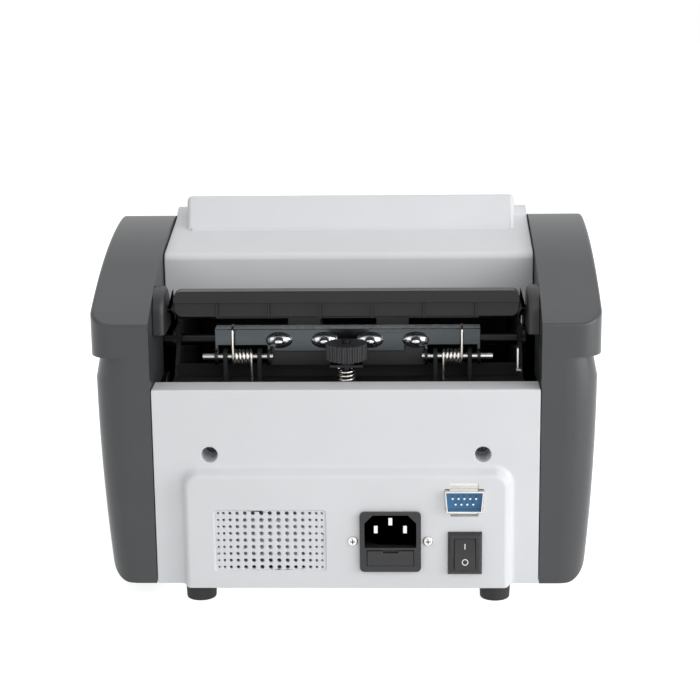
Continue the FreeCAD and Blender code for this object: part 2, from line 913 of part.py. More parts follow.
def top_cover():
    """The rear wall, the deck behind the hood, the hood and its two shoulders."""
    wall = D.shell_wall
    edge = D.deck_edge
    front = CONSOLE_TOP_Y
    foot = above(D.wall_foot)
    deck = prism("deck_sheet", "YZ_Plane", -INSIDE, INSIDE, [
        (WALL, foot),
        (WALL, DECK - edge),
        (WALL - edge, deck_at(WALL - edge), WALL - edge * CORNER, DECK - edge * CORNER),
        (front, deck_at(front)),
        (front, deck_at(front) - wall),
        (WALL - wall, deck_at(WALL - wall) - wall),
        (WALL - wall, foot),
    ])
    blend = D.hood_blend
    start = HOOD + blend
    heel = deck_at(start)
    sunk = wall / 2
    face = HOOD - D.hood_lean
    lean = D.hood_lean / (HOOD_TOP - heel - blend)
    hood = prism("hood_block", "YZ_Plane", -D.hood_half, D.hood_half, [
        (HOOD + (blend + sunk) * lean, heel - sunk),
        (face, HOOD_TOP),
        (front, CONSOLE_TOP_Z),
        (front, heel - sunk),
    ])
    soften(
        hood, "hood_round", D.hood_edge,
        lambda place: same(place.ZMax, HOOD_TOP) and place.YMax > face.value - TOUCH,
    )
    cove = prism("hood_cove", "YZ_Plane", -D.hood_half + D.hood_edge, D.hood_half - D.hood_edge, [
        (start, heel - sunk),
        (start, heel),
        (HOOD, heel + blend, HOOD + blend * CORNER, heel + blend * CORNER),
        (HOOD - wall, heel + blend),
        (HOOD - wall, heel - sunk),
    ])
    room = prism("hood_room", "YZ_Plane", -D.hood_half + wall, D.hood_half - wall, [
        (HOOD - wall, deck_at(HOOD) - 2 * wall),
        (HOOD - wall, heel + blend),
        (face - wall, HOOD_TOP - wall),
        (front - SPARE, CONSOLE_TOP_Z - wall),
        (front - SPARE, deck_at(HOOD) - 2 * wall),
    ])
    top = above(D.shoulder_block_height)
    back = front + D.shoulder_block_run
    rise = top - deck_at(back)
    shoulders = []
    for side, (low, high) in (("right", (D.hood_half, INSIDE)), ("left", (-INSIDE, -D.hood_half))):
        shoulders.append(prism("shoulder_" + side, "YZ_Plane", low, high, [
            (back, deck_at(back) - sunk),
            (back, deck_at(back)),
            (front, top, front + (back - front) * BULGE, deck_at(back) + rise * BULGE),
            (front, deck_at(front) - sunk),
        ]))
    body = fuse("top_cover_body", deck, hood, cove, *shoulders)
    seat = slope_box("console_seat", (-D.hood_half - SPARE, D.hood_half + SPARE), (-D.console_length, D.play),
                     (-wall - D.play, as_size(SPARE)))
    node("top_cover", cut("top_cover_shell", body, room, seat))


def slope_point(v, w):
    """A place on the sloping console: v runs up the slope to its top edge and w stands off its face."""
    y = CONSOLE_TOP_Y + v * TILT_COS - w * TILT_SIN
    z = CONSOLE_TOP_Z + v * TILT_SIN + w * TILT_COS
    return (y, z)


def slope_box(name, x, v, w):
    """A block on the sloping console, between pairs of places across it, along it and off its face."""
    low, high = v
    under, over = w
    corners = [
        slope_point(low, under), slope_point(high, under), slope_point(high, over), slope_point(low, over),
    ]
    return prism(name, "YZ_Plane", *x, corners)


KEYS = ("start", "mode", "add", "clear")


def key_centre(index):
    """The place of a key across the console."""
    return (index - (len(KEYS) - 1) / 2) * D.key_pitch


def front_console():
    """The sloping panel with its display window, its keys and the board behind them."""
    wall = D.shell_wall
    low = -D.console_length
    plate = slope_box("console_plate", (-D.hood_half, D.hood_half), (low, as_size(0)), (-wall, as_size(0)))
    wings = slope_box("console_wings", (-INSIDE, INSIDE), (low, -D.console_notch), (-wall, as_size(0)))
    lip = box(
        "console_lip_plate", (-INSIDE, INSIDE), (CONSOLE_END_Y, CONSOLE_END_Y + wall),
        (STACKER_MOUTH, CONSOLE_END_Z),
    )
    face = -D.board_drop
    back = face - D.board_wall
    posts = []
    for side in (-1, 1):
        for level in (-D.console_notch - D.key_tall, low + D.key_tall):
            posts.append(slope_box(
                f"console_post_{len(posts)}", span(side * (D.hood_half - D.key_stem * 2), D.key_stem),
                span(level, D.key_stem), (face, -wall / 2)))
    window_v = span(-D.window_drop, D.window_tall)
    window_x = span(as_size(0), D.window_width)
    opening = slope_box(
        "window_opening", span(as_size(0), D.window_width + 2 * D.play),
        span(-D.window_drop, D.window_tall + 2 * D.play), (-wall - SPARE, as_size(SPARE)),
    )
    holes = []
    stems = []
    for index, name in enumerate(KEYS):
        holes.append(slope_box(
            f"key_hole_{name}", span(key_centre(index), D.key_width + 2 * D.play),
            span(-D.key_drop, D.key_tall + 2 * D.play), (-wall - SPARE, as_size(SPARE))))
        node("key_" + name, slope_box(
            "key_" + name, span(key_centre(index), D.key_width), span(-D.key_drop, D.key_tall),
            (-D.key_stem, D.key_proud)))
        stems.append(slope_box(
            f"key_switch_{name}", span(key_centre(index), D.key_tall / 2), span(-D.key_drop, D.key_tall / 2),
            (face - SPARE, face + D.key_proud)))
    console = fuse("console_body", plate, wings, lip, *posts)
    node("front_console", cut("console_panel", console, opening, *holes))
    ledge = slope_box("window_ledge", window_x, window_v, (-wall, D.window_proud))
    node("display_window", ledge)
    board = slope_box(
        "console_board_sheet", (-D.hood_half + D.key_stem, D.hood_half - D.key_stem),
        (low + D.key_stem * 2, -D.console_notch), (back, face),
    )
    screen = slope_box("console_screen", window_x, window_v, (face - SPARE, -wall))
    node("console_board", fuse("console_board_body", board, screen, *stems))


def stacker():
    """The front pocket: its floor with an apron, and its back plate with slots for the wheels."""
    wall = D.stacker_wall
    floor = box(
        "stacker_floor_plate", (-INSIDE, INSIDE), (APRON, STACKER_BACK_Y),
        (STACKER_FLOOR - wall, STACKER_FLOOR),
    )
    apron = box("stacker_apron", (-INSIDE, INSIDE), (APRON, APRON + D.shell_wall),
                (BASE, STACKER_FLOOR + D.stacker_lip))
    legs = []
    for side in (-1, 1):
        legs.append(box(
            f"stacker_leg_{side + 1}", span(side * (D.plate_half - D.shell_wall), D.shell_wall),
            (APRON + D.shell_wall, STACKER_BACK_Y), (FLOOR_TOP, STACKER_FLOOR - wall / 2)))
    node("stacker_floor", fuse("stacker_floor_body", floor, apron, *legs))
    back = box(
        "stacker_back_plate", (-INSIDE, INSIDE), (STACKER_BACK_Y, STACKER_BACK_Y + wall),
        (STACKER_FLOOR - wall, STACKER_MOUTH + wall),
    )
    ceiling = box(
        "stacker_ceiling", (-INSIDE, INSIDE), (CONSOLE_END_Y + D.shell_wall, STACKER_BACK_Y + wall),
        (STACKER_MOUTH, STACKER_MOUTH + wall),
    )
    slots = []
    for side in (-1, 1):
        slots.append(box(
            f"wheel_slot_{side + 1}",
            span(side * D.wheel_spacing / 2, D.wheel_width + 2 * D.wheel_slot_margin),
            (STACKER_BACK_Y - SPARE, STACKER_BACK_Y + wall + SPARE),
            (STACKER_FLOOR - wall - SPARE, WHEEL_Z + D.wheel_radius + D.play)))
    node("stacker_back", cut("stacker_back_slotted", fuse("stacker_back_body", back, ceiling), *slots))


# Base, feet and chassis

BOARD_LEFT = -D.plate_half + D.board_standoff
BOARD_FRONT = WHEEL_Y + D.wheel_radius + D.board_standoff
BOARD_Z = FLOOR_TOP + D.board_standoff


def board_corners():
    """The four places where the main board stands on the base."""
    inset = D.board_standoff
    corners = []
    for x in (BOARD_LEFT + inset, BOARD_LEFT + D.board_width - inset):
        for y in (BOARD_FRONT + inset, BOARD_FRONT + D.board_long - inset):
            corners.append((x, y))
    return corners


def base():
    """The base tray with its standoffs, and four rubber feet under it."""
    plate = box("base_plate", (-INSIDE, INSIDE), (APRON + D.shell_wall, PANEL_INNER), (BASE, FLOOR_TOP))
    posts = []
    for index, spot in enumerate(board_corners()):
        posts.append(rod(
            f"standoff_{index}", "z", D.board_standoff / 2, BASE + D.base_wall / 2, BOARD_Z, spot))
    node("base_tray", fuse("base_body", plate, *posts))
    feet = []
    for x in (-D.foot_spacing / 2, D.foot_spacing / 2):
        for y in (APRON + D.shell_wall + D.foot_inset, REAR - D.foot_inset):
            sole = D.foot_radius - D.foot_taper
            feet.append(cone(f"foot_{len(feet)}", "z", sole, D.foot_radius, as_size(0), BASE, (x, y)))
    node("rubber_feet", group("feet", *feet))


def lane(number):
    """Where a belt's lane starts, outside the right chassis plate."""
    return D.lane_start + D.lane_pitch * number


DRIVEN = ((FEED_Y, FEED_Z), (TRANSPORT_Y, TRANSPORT_Z), (WHEEL_Y, WHEEL_Z))


def chassis():
    """Two steel plates, the rods and the crossmember that tie them, and the bearings in them."""
    room = D.bearing_radius + D.shell_wall
    wall_front = WALL - D.shell_wall - D.play
    top = DECK - D.shell_wall - D.play
    plate = prism("plate_sheet", "YZ_Plane", D.plate_half, PLATE_OUTER, [
        (CHASSIS_FRONT, FLOOR_TOP),
        (CHASSIS_REAR, FLOOR_TOP),
        (CHASSIS_REAR, CROSS_TOP),
        (CROSS_FRONT, CROSS_TOP),
        (FEED_Y + room, FEED_Z),
        (FEED_Y + room, FEED_Z + room),
        (wall_front, FEED_Z + room),
        (wall_front, top),
        (CROWN, top),
        (CHASSIS_FRONT, FEED_Z),
    ])
    foot = box(
        "plate_foot", (D.plate_half, INSIDE - D.play), (CHASSIS_FRONT, CHASSIS_REAR),
        (FLOOR_TOP, FLOOR_TOP + D.plate_wall),
    )
    through = (D.plate_half - SPARE, PLATE_OUTER + SPARE)
    holes = []
    for index, spot in enumerate(DRIVEN):
        holes.append(rod(f"bearing_seat_{index}", "x", D.bearing_radius, *through, spot))
    holes.append(rod("pinch_hole", "x", D.pinch_axle + D.running_fit, *through, (TRANSPORT_Y, PINCH_Z)))
    holes.append(rod("motor_hole", "x", D.motor_pulley_radius, *through, (MOTOR_Y, MOTOR_Z)))
    right = cut("plate_drilled", fuse("plate_folded", plate, foot), *holes)
    node("chassis_plate_right", right)
    node("chassis_plate_left", mirror("plate_mirrored", right))
    across = (-D.plate_half, D.plate_half)
    node("tie_rods", group(
        "rods",
        rod("upper_tie_rod", "x", D.tie_rod_radius, *across, (CROWN, FEED_Z + D.pulley_radius)),
        rod("lower_tie_rod", "x", D.tie_rod_radius, *across, (CHASSIS_REAR - 2 * D.tie_rod_radius, WHEEL_Z)),
    ))
    bearings = []
    for index, spot in enumerate(DRIVEN):
        ring = tube(f"bearing_{index}", "x", D.bearing_radius, D.shaft_radius + D.running_fit, D.plate_half,
                    D.plate_half + D.bearing_wide, spot)
        bearings += [ring, mirror(f"bearing_far_{index}", ring)]
    node("shaft_bearings", group("bearings", *bearings))


def crossmember():
    """The plate across the open bay, with four lugs for the pivot pins and the adjuster's stud."""
    plate = box("cross_plate", (-D.plate_half, D.plate_half), (CROSS_FRONT, CHASSIS_REAR),
                (CROSS_TOP - D.crossmember_wall, CROSS_TOP))
    lugs = []
    holes = [rod("stud_hole", "z", D.stud_radius, CROSS_TOP - 2 * D.crossmember_wall, CROSS_TOP + SPARE,
                 (as_size(0), KNOB_Y))]
    pins = []
    for side in (-1, 1):
        for place in (D.lug_inner, D.lug_outer):
            tag = f"{side + 1}_{len(lugs)}"
            x = span(side * place, D.lug_wall)
            lugs.append(box("lug_" + tag, x, (PIVOT_Y - D.ear_radius, PIVOT_Y + D.ear_radius),
                            (CROSS_TOP - D.crossmember_wall, PIVOT_Z)))
            lugs.append(rod("lug_top_" + tag, "x", D.ear_radius, *x, (PIVOT_Y, PIVOT_Z)))
        low, high = (D.pin_inner, D.pin_outer) if side > 0 else (-D.pin_outer, -D.pin_inner)
        holes.append(rod(f"pin_hole_{side + 1}", "x", D.pivot_radius, low, high, (PIVOT_Y, PIVOT_Z)))
        pins.append(rod(f"pin_{side + 1}", "x", D.pivot_radius, low, high, (PIVOT_Y, PIVOT_Z)))
    node("rear_crossmember", cut("cross_drilled", fuse("cross_body", plate, *lugs), *holes))
    node("pivot_pins", group("pins", *pins))


# Hopper

def hopper():
    """The ribbed tray that carries the notes, and a cheek at each end of it."""
    rear = PANEL - D.rim_setback
    top = above(D.rim_height)
    rim_foot = top - D.rim_tall
    band = rear - D.rim_depth
    band_front = band - D.tray_wall
    band_foot = rim_foot - D.tray_band
    tip_y = BLOCK_FRONT + D.shell_wall / 2
    tip_z = FLANGE_TOP + D.tray_clearance
    run = band_front - tip_y
    rise = top - tip_z
    steep = rise / run
    under_y = tip_y + D.tray_wall * BULGE
    under_z = tip_z - D.tray_wall * BULGE
    tray = prism("tray_sheet", "YZ_Plane", -D.tray_half, D.tray_half, [
        (rear, rim_foot),
        (rear, top),
        (band_front, top),
        (tip_y, tip_z),
        (under_y, under_z),
        (band_front, under_z + (band_front - under_y) * steep),
        (band_front, band_foot),
        (band, band_foot),
        (band, rim_foot),
    ])
    ribs = []
    count = int(D.tray_ribs.value)
    for index in range(count):
        place = (index - (count - 1) / 2) * D.tray_rib_pitch
        ribs.append(box(f"tray_rib_{index}", span(place, D.tray_rib_wall), (band - SPARE, rear - SPARE),
                        (band_foot, rim_foot + SPARE)))
    pegs = []
    corners = []
    for side in (-1, 1):
        inner = D.seam_half - D.cheek_wall
        low, high = (D.tray_half - SPARE, inner) if side > 0 else (-inner, -D.tray_half + SPARE)
        pegs.append(rod(f"tray_peg_{side + 1}", "x", D.tray_wall / 2, low, high,
                        (band - D.tray_wall / 2, (band_foot + rim_foot) / 2)))
        corners.append(corner_sliver(
            f"tray_corner_{side + 1}", "XZ_Plane", tip_y, rear + SPARE,
            (side * D.tray_half, top), D.rim_corner, (side, 1)))
        corners.append(corner_sliver(
            f"tray_heel_{side + 1}", "XZ_Plane", band_front - SPARE, band + SPARE,
            (side * D.tray_half, band_foot), D.rim_corner, (side, -1)))
    solid = cut("tray_rounded", fuse("tray_ribbed", tray, *ribs), *corners)
    node("hopper_tray", fuse("tray_pegged", solid, *pegs))
    cheek_rear = LEDGE - D.play
    cheek_front = cheek_rear - D.cheek_depth
    cheek_top = above(D.cheek_height)
    bend = D.cheek_round * CORNER
    cheek = prism("cheek_block", "YZ_Plane", D.seam_half - D.cheek_wall, D.seam_half, [
        (cheek_front, cheek_top - D.cheek_drop),
        (cheek_rear, cheek_top - D.cheek_drop),
        (cheek_rear, cheek_top - D.cheek_round),
        (cheek_rear - D.cheek_round, cheek_top, cheek_rear - bend, cheek_top - bend),
        (cheek_front + D.cheek_round, cheek_top),
        (cheek_front, cheek_top - D.cheek_round, cheek_front + bend, cheek_top - bend),
    ])
    soften(
        cheek, "cheek_round", D.cheek_edge,
        lambda edge: same(edge.XMin, D.seam_half - D.cheek_wall) and edge.XLength < TOUCH
        and edge.ZMax > (cheek_top - D.cheek_drop).value + SPARE,
    )
    node("hopper_cheek_right", cheek)
    node("hopper_cheek_left", mirror("cheek_mirrored", cheek))


# Wound springs

def arc_run(start, heading, end):
    """An arc that leaves its start along a heading and reaches its end."""
    chord = end - start
    along = Vector(chord).normalize()
    across = heading - along * heading.dot(along)
    if across.Length < 1e-6:
        return Part.LineSegment(start, end).toShape()
    half_turn = math.acos(max(-1.0, min(1.0, heading.dot(along))))
    rise = chord.Length / 2 * math.tan(half_turn / 2)
    return Part.Arc(start, start + chord / 2 + across.normalize() * rise, end).toShape()


def biarc(start, heading, end, last_heading):
    """Two arcs, tangent to each other and to the headings at both ends."""
    chord = end - start
    both = heading + last_heading
    spread = 2 * (1 - heading.dot(last_heading))
    reach = chord.dot(both)
    if spread < 1e-9:
        step = chord.dot(chord) / (2 * reach)
    else:
        step = (math.sqrt(reach ** 2 + spread * chord.dot(chord)) - reach) / spread
    middle = (start + end + (heading - last_heading) * step) / 2
    back = arc_run(end, last_heading * -1, middle)
    ends = [vertex.Point for vertex in back.Vertexes]
    through = back.valueAt((back.FirstParameter + back.LastParameter) / 2)
    forward = Part.Arc(middle, through, ends[0]).toShape()
    return [arc_run(start, heading, middle), forward]


def turns_along(place, turns, first_heading, last_heading):
    """Quarter-turn biarcs along a helix given as a function of the number of turns."""
    small = 1e-4
    count = int(round(turns * 4))
    edges = []
    points = [place(turns * index / count) for index in range(count + 1)]
    headings = []
    for index in range(count + 1):
        middle = turns * index / count
        headings.append((place(middle + small) - place(middle - small)).normalize())
    headings[0] = first_heading or headings[0]
    headings[-1] = last_heading or headings[-1]
    for index in range(count):
        edges += biarc(points[index], headings[index], points[index + 1], headings[index + 1])
    return edges


def wound(name, edges, wire):
    """A round wire swept along a path as one unbroken tube."""
    path = Part.Wire(edges)
    first = edges[0]
    start = first.valueAt(first.FirstParameter)
    heading = first.tangentAt(first.FirstParameter)
    section = Part.Wire([Part.Circle(start, heading, wire / 2).toShape()])
    item = doc.addObject("Part::Feature", name)
    item.Shape = path.makePipeShell([section], True, False)
    return item


def report_gap(name, place, turns, wire):
    """Measure the least gap between the turns of a coil on points, and print it."""
    steps = 60
    points = [place(index / steps) for index in range(int(turns * steps) + 1)]
    least = min(
        points[first].distanceToPoint(points[second])
        for first in range(0, len(points), 3)
        for second in range(first + steps // 2, len(points))
    )
    print(f"{name}: least gap between turns {least - wire:.2f} mm")


def torsion_springs():
    """A spring round each pivot pin, one leg over the bracket's flange and one leg down."""
    wire = D.twist_wire.value
    radius = D.twist_radius.value
    turns = int(D.twist_turns.value)
    centre_y = PIVOT_Y.value
    centre_z = PIVOT_Z.value
    middle = ((D.lug_inner + D.lug_outer) / 2).value
    pitch = D.twist_pitch.value
    first_x = middle + pitch * turns / 2

    def place(turn):
        angle = -2 * math.pi * turn
        return Vector(
            first_x - pitch * turn,
            centre_y + radius * math.cos(angle),
            centre_z + radius * math.sin(angle),
        )

    down = Vector(0, 0, -1)
    bend = 2 * wire
    over_z = FLANGE_TOP.value + wire
    hook = Vector(first_x, WEB_REAR.value - 2 * wire, over_z)
    hook_end = Vector(first_x, centre_y + radius - bend, over_z)
    leg_top = Vector(first_x, centre_y + radius, over_z - bend)
    last_x = place(turns).x
    leg_foot = Vector(last_x, centre_y + radius, CROSS_TOP.value + wire)
    edges = [
        Part.LineSegment(hook, hook_end).toShape(),
        arc_run(hook_end, Vector(0, 1, 0), leg_top),
        Part.LineSegment(leg_top, place(0)).toShape(),
    ]
    edges += turns_along(place, turns, down, down)
    edges.append(Part.LineSegment(place(turns), leg_foot).toShape())
    report_gap("torsion spring", place, turns, wire)
    spring = wound("torsion_spring", edges, wire)
    node("torsion_spring_right", spring)
    node("torsion_spring_left", mirror("torsion_spring_mirrored", spring))


def compression_spring():
    """The spring on the adjuster's stud, between the crossmember and the bracket's lip."""
    wire = D.coil_wire.value
    radius = D.coil_radius.value
    turns = int(D.coil_turns.value)
    low = CROSS_TOP.value + wire / 2 + D.running_fit.value
    high = (LIP_TOP - D.bracket_sheet - D.play).value - wire / 2 - D.running_fit.value
    pitch = (high - low) / turns

    def place(turn):
        angle = 2 * math.pi * turn
        return Vector(radius * math.cos(angle), KNOB_Y.value + radius * math.sin(angle), low + pitch * turn)

    level = Vector(0, 1, 0)
    report_gap("compression spring", place, turns, wire)
    node("gap_spring", wound("stud_spring", turns_along(place, turns, level, level), wire))


# Gap adjuster

def gap_bracket():
    """A bent plate that swings on the pivot pins and holds the retard pad against the feed rollers."""
    sheet_x = (-D.bracket_half, D.bracket_half)
    web = box("bracket_web", sheet_x, (WEB_FRONT, WEB_REAR),
              (PIVOT_Z + D.ear_radius + D.bracket_sheet, FLANGE_TOP))
    flange = box("bracket_flange_sheet", sheet_x, (WEB_REAR - D.bracket_flange, WEB_REAR),
                 (FLANGE_FOOT, FLANGE_TOP))
    skirt = box("bracket_skirt", (D.bracket_skirt_near, D.bracket_skirt_far), (WEB_FRONT, WEB_REAR),
                (LIP_TOP + D.bracket_skirt_rise, FLANGE_TOP))
    neck = box("bracket_neck", (-D.bracket_tab_half, D.bracket_tab_half), (WEB_FRONT, WEB_REAR),
               (LIP_TOP - D.bracket_sheet, FLANGE_TOP))
    lip = box("bracket_tab", (-D.bracket_tab_half, D.bracket_tab_half),
              (WEB_FRONT, WEB_FRONT + D.bracket_lip_reach), (LIP_TOP - D.bracket_sheet, LIP_TOP))
    ears = []
    holes = [rod("lip_hole", "z", D.stud_radius + SPARE, LIP_TOP - 2 * D.bracket_sheet, LIP_TOP + SPARE,
                 (as_size(0), KNOB_Y))]
    for side in (-1, 1):
        for place in (D.ear_inner, D.bracket_half - D.bracket_sheet / 2):
            tag = f"{side + 1}_{len(ears)}"
            x = span(side * place, D.bracket_sheet)
            ears.append(box("ear_" + tag, x, (PIVOT_Y - D.ear_radius, WEB_REAR), (PIVOT_Z, FLANGE_TOP)))
            ears.append(rod("ear_end_" + tag, "x", D.ear_radius, *x, (PIVOT_Y, PIVOT_Z)))
        low, high = (D.pin_inner, D.pin_outer) if side > 0 else (-D.pin_outer, -D.pin_inner)
        holes.append(rod(f"ear_hole_{side + 1}", "x", D.pivot_radius + D.running_fit, low, high,
                         (PIVOT_Y, PIVOT_Z)))
    dimples = []
    screws = []
    screw_z = (FLANGE_FOOT + PIVOT_Z + D.ear_radius) / 2
    block = box("retard_blank", (-D.retard_half, D.retard_half), (BLOCK_FRONT, WEB_FRONT),
                (FLANGE_FOOT - D.retard_tall, FLANGE_FOOT))
    sinks = []
    for index in range(4):
        place = ((index - 1.5) * D.retard_screw_pitch, screw_z)
        tip = WEB_REAR + D.dimple_rise
        dimples.append(cone(f"dimple_{index}", "y", D.dimple_radius, D.dimple_top, WEB_REAR - SPARE / 2, tip,
                            place))
        bore = D.retard_screw_radius + D.running_fit
        holes.append(rod(f"dimple_hole_{index}", "y", bore, WEB_FRONT - SPARE, tip + SPARE, place))
        middle = (BLOCK_FRONT + WEB_FRONT) / 2
        sinks.append(rod(
            f"retard_bore_{index}", "y", D.retard_screw_radius, middle, WEB_FRONT + SPARE, place))
        screws.append(rod(f"retard_screw_{index}", "y", D.retard_screw_radius, middle,
                          tip + D.retard_screw_radius, place))
    bracket = fuse("bracket_sheetwork", web, flange, skirt, neck, lip, *ears, *dimples)
    node("gap_bracket", cut("bracket_drilled", bracket, *holes))
    node("retard_block", cut("retard_drilled", block, *sinks))
    node("retard_pad", box("retard_facing", (-D.retard_half, D.retard_half), (PAD_FRONT, BLOCK_FRONT),
                           (FLANGE_FOOT - D.retard_tall, FLANGE_FOOT)))
    node("retard_screws", group("retard_fasteners", *screws))


def gap_screw():
    """The stud, its washer and the fluted knob that sets the gap."""
    top = KNOB_FOOT + D.knob_tall
    node("gap_stud", rod("stud", "z", D.stud_radius, CROSS_TOP - D.crossmember_wall, top + D.stud_top,
                         (as_size(0), KNOB_Y)))
    node("gap_washer", tube("washer", "z", D.washer_radius, D.stud_radius + D.running_fit, WASHER_FOOT,
                            WASHER_FOOT + D.knob_lift, (as_size(0), KNOB_Y)))
    knob = doc.addObject("PartDesign::Body", "gap_knob")
    tie(knob, "Placement.Base.y", KNOB_Y)
    tie(knob, "Placement.Base.z", KNOB_FOOT)
    zero = as_size(0)
    disc = draw(knob, "knob_disc", "XY_Plane", zero, round_outline(zero, zero, D.knob_radius))
    pad(knob, "knob_pad", disc, D.knob_tall)
    scoop = round_outline(D.knob_radius, zero, D.knob_groove)
    flute = draw(knob, "knob_flute", "XY_Plane", D.knob_tall, scoop)
    groove = knob.newObject("PartDesign::Pocket", "knob_groove")
    groove.Profile = flute
    tie(groove, "Length", D.knob_tall)
    pattern = knob.newObject("PartDesign::PolarPattern", "knob_flutes")
    pattern.Originals = [groove]
    axis = [item for item in knob.Origin.OriginFeatures if item.Role == "Z_Axis"][0]
    pattern.Axis = (axis, [""])
    pattern.Angle = 360
    tie(pattern, "Occurrences", D.knob_grooves)
    knob.Tip = pattern
    bore = draw(knob, "knob_bore_outline", "XY_Plane", D.knob_tall,
                round_outline(zero, zero, D.stud_radius + D.running_fit))
    hole = knob.newObject("PartDesign::Pocket", "knob_bore")
    hole.Profile = bore
    tie(hole, "Length", D.knob_tall)
    node("gap_knob", knob)


# Transport

def rollers(name, radius, spot):
    """A pair of rollers on a shaft."""
    pair = []
    for side in (-1, 1):
        low, high = span(side * D.roller_spacing / 2, D.roller_width)
        pair.append(tube(f"{name}_{side + 1}", "x", radius, D.shaft_radius, low, high, spot))
    return group(name + "_pair", *pair)


def pulley(name, radius, first_lane, last_lane, spot):
    """A pulley that fills one or more belt lanes."""
    return tube(name, "x", radius, D.shaft_radius, lane(first_lane), lane(last_lane + 1), spot)


def shaft(name, last_lane, spot):
    """A shaft through both bearings to the end of its pulley."""
    return rod(name, "x", D.shaft_radius, -D.plate_half - D.bearing_wide - D.play, lane(last_lane + 1), spot)


def feed_line():
    """The three driven shafts with their rollers and pulleys, and the sprung pinch rollers."""
    feed, transport, wheels = DRIVEN
    node("feed_shaft", shaft("feed_bar", 1, feed))
    node("feed_rollers", rollers("feed_roller", D.feed_radius, feed))
    node("feed_pulley", pulley("feed_wheel", D.pulley_radius, 1, 1, feed))
    node("transport_shaft", shaft("transport_bar", 2, transport))
    node("transport_rollers", rollers("transport_roller", D.transport_radius, transport))
    node("transport_pulley", pulley("transport_wheel", D.pulley_radius, 0, 2, transport))
    node("stacker_shaft", shaft("stacker_bar", 2, wheels))
    node("stacker_pulley", pulley("stacker_disc", D.stacker_pulley, 2, 2, wheels))
    pinch = (TRANSPORT_Y, PINCH_Z)
    idlers = [rod("pinch_bar", "x", D.pinch_axle, -PLATE_OUTER, PLATE_OUTER, pinch)]
    slots = []
    for side in (-1, 1):
        low, high = span(side * D.roller_spacing / 2, D.roller_width)
        idlers.append(rod(f"pinch_tyre_{side + 1}", "x", D.pinch_radius, low, high, pinch))
        slots.append(box(f"guide_slot_{side + 1}", (low - SPARE, high + SPARE),
                         span(TRANSPORT_Y, 2 * D.pinch_radius + 4 * SPARE),
                         (GUIDE_Z - 2 * D.guide_wall, GUIDE_Z + SPARE)))
    node("pinch_rollers", fuse("pinch_body", *idlers))
    bend = D.guide_bend
    wall = D.guide_wall
    inner = BLOCK_FRONT
    outer_bend = bend + wall
    end = WHEEL_Y + D.wheel_radius + D.board_standoff / 2
    top = FLANGE_FOOT - D.retard_tall - 4 * D.play
    guide = prism("guide_sheet", "YZ_Plane", -D.plate_half, D.plate_half, [
        (inner, top),
        (inner, GUIDE_Z + bend),
        (inner - bend, GUIDE_Z, inner - bend * CORNER, GUIDE_Z + bend * CORNER),
        (end, GUIDE_Z),
        (end, GUIDE_Z - wall),
        (inner - bend, GUIDE_Z - wall),
        (inner + wall, GUIDE_Z + bend,
         inner + wall - outer_bend * CORNER, GUIDE_Z - wall + outer_bend * CORNER),
        (inner + wall, top),
    ])
    node("note_guide", cut("guide_slotted", guide, *slots))


def stacker_wheels():
    """Two finned wheels that lay the counted notes in the front pocket."""
    wheel = doc.addObject("PartDesign::Body", "stacker_wheel")
    tie(wheel, "Placement.Base.x", (D.wheel_spacing - D.wheel_width) / 2)
    tie(wheel, "Placement.Base.y", WHEEL_Y)
    tie(wheel, "Placement.Base.z", WHEEL_Z)
    zero = as_size(0)
    hub = draw(wheel, "wheel_hub_outline", "YZ_Plane", zero, round_outline(zero, zero, D.wheel_hub))
    pad(wheel, "wheel_hub_pad", hub, D.wheel_width)

    def spot(radius, turn):
        return (radius * math.cos(math.radians(turn)), radius * math.sin(math.radians(turn)))

    tip = D.wheel_radius
    root = D.wheel_hub - SPARE
    waist = (tip + root) / 2
    lean = D.fin_lean.value
    bow = D.fin_bow.value
    thin = D.wheel_fin_wall
    fin = draw(wheel, "wheel_fin_outline", "YZ_Plane", zero, [
        spot(root, 0),
        spot(tip, lean) + spot(waist, bow),
        spot(tip - thin, lean),
        spot(root, D.fin_root.value) + spot(waist - thin, bow),
    ])
    blade = pad(wheel, "wheel_fin_pad", fin, D.wheel_width)
    pattern = wheel.newObject("PartDesign::PolarPattern", "wheel_fins")
    pattern.Originals = [blade]
    axis = [item for item in wheel.Origin.OriginFeatures if item.Role == "X_Axis"][0]
    pattern.Axis = (axis, [""])
    pattern.Angle = 360
    tie(pattern, "Occurrences", D.wheel_fins)
    wheel.Tip = pattern
    bore = rod("wheel_bore", "x", D.shaft_radius, as_size(0), D.wheel_spacing, (WHEEL_Y, WHEEL_Z))
    bored = cut("stacker_wheel_bored", wheel, bore)
    node("stacker_wheels", group("wheels", bored, mirror("stacker_wheel_far", bored)))


def belt(first, first_radius, second, second_radius, number):
    """A flat belt round two pulleys, worked out from their tangents."""
    gap = D.belt_gap.value
    start = Vector(0, first[0].value, first[1].value)
    end = Vector(0, second[0].value, second[1].value)
    reach = end - start
    heading = math.atan2(reach.z, reach.y)
    left = lane(number).value + (D.lane_pitch - D.belt_wide).value / 2

    def loop(extra):
        first_size = first_radius.value + extra
        second_size = second_radius.value + extra
        lean = math.acos((first_size - second_size) / reach.Length)

        def spot(centre, size, angle):
            return Vector(left, centre.y + size * math.cos(angle), centre.z + size * math.sin(angle))

        near = [spot(start, first_size, heading + turn) for turn in (lean, math.pi, -lean)]
        far = [spot(end, second_size, heading + turn) for turn in (-lean, 0, lean)]
        return Part.Wire([
            Part.Arc(*near).toShape(),
            Part.LineSegment(near[2], far[0]).toShape(),
            Part.Arc(*far).toShape(),
            Part.LineSegment(far[2], near[0]).toShape(),
        ])

    face = Part.Face(loop(gap + D.belt_wall.value))
    band = face.cut(Part.Face(loop(gap)))
    return band.extrude(Vector(D.belt_wide.value, 0, 0))


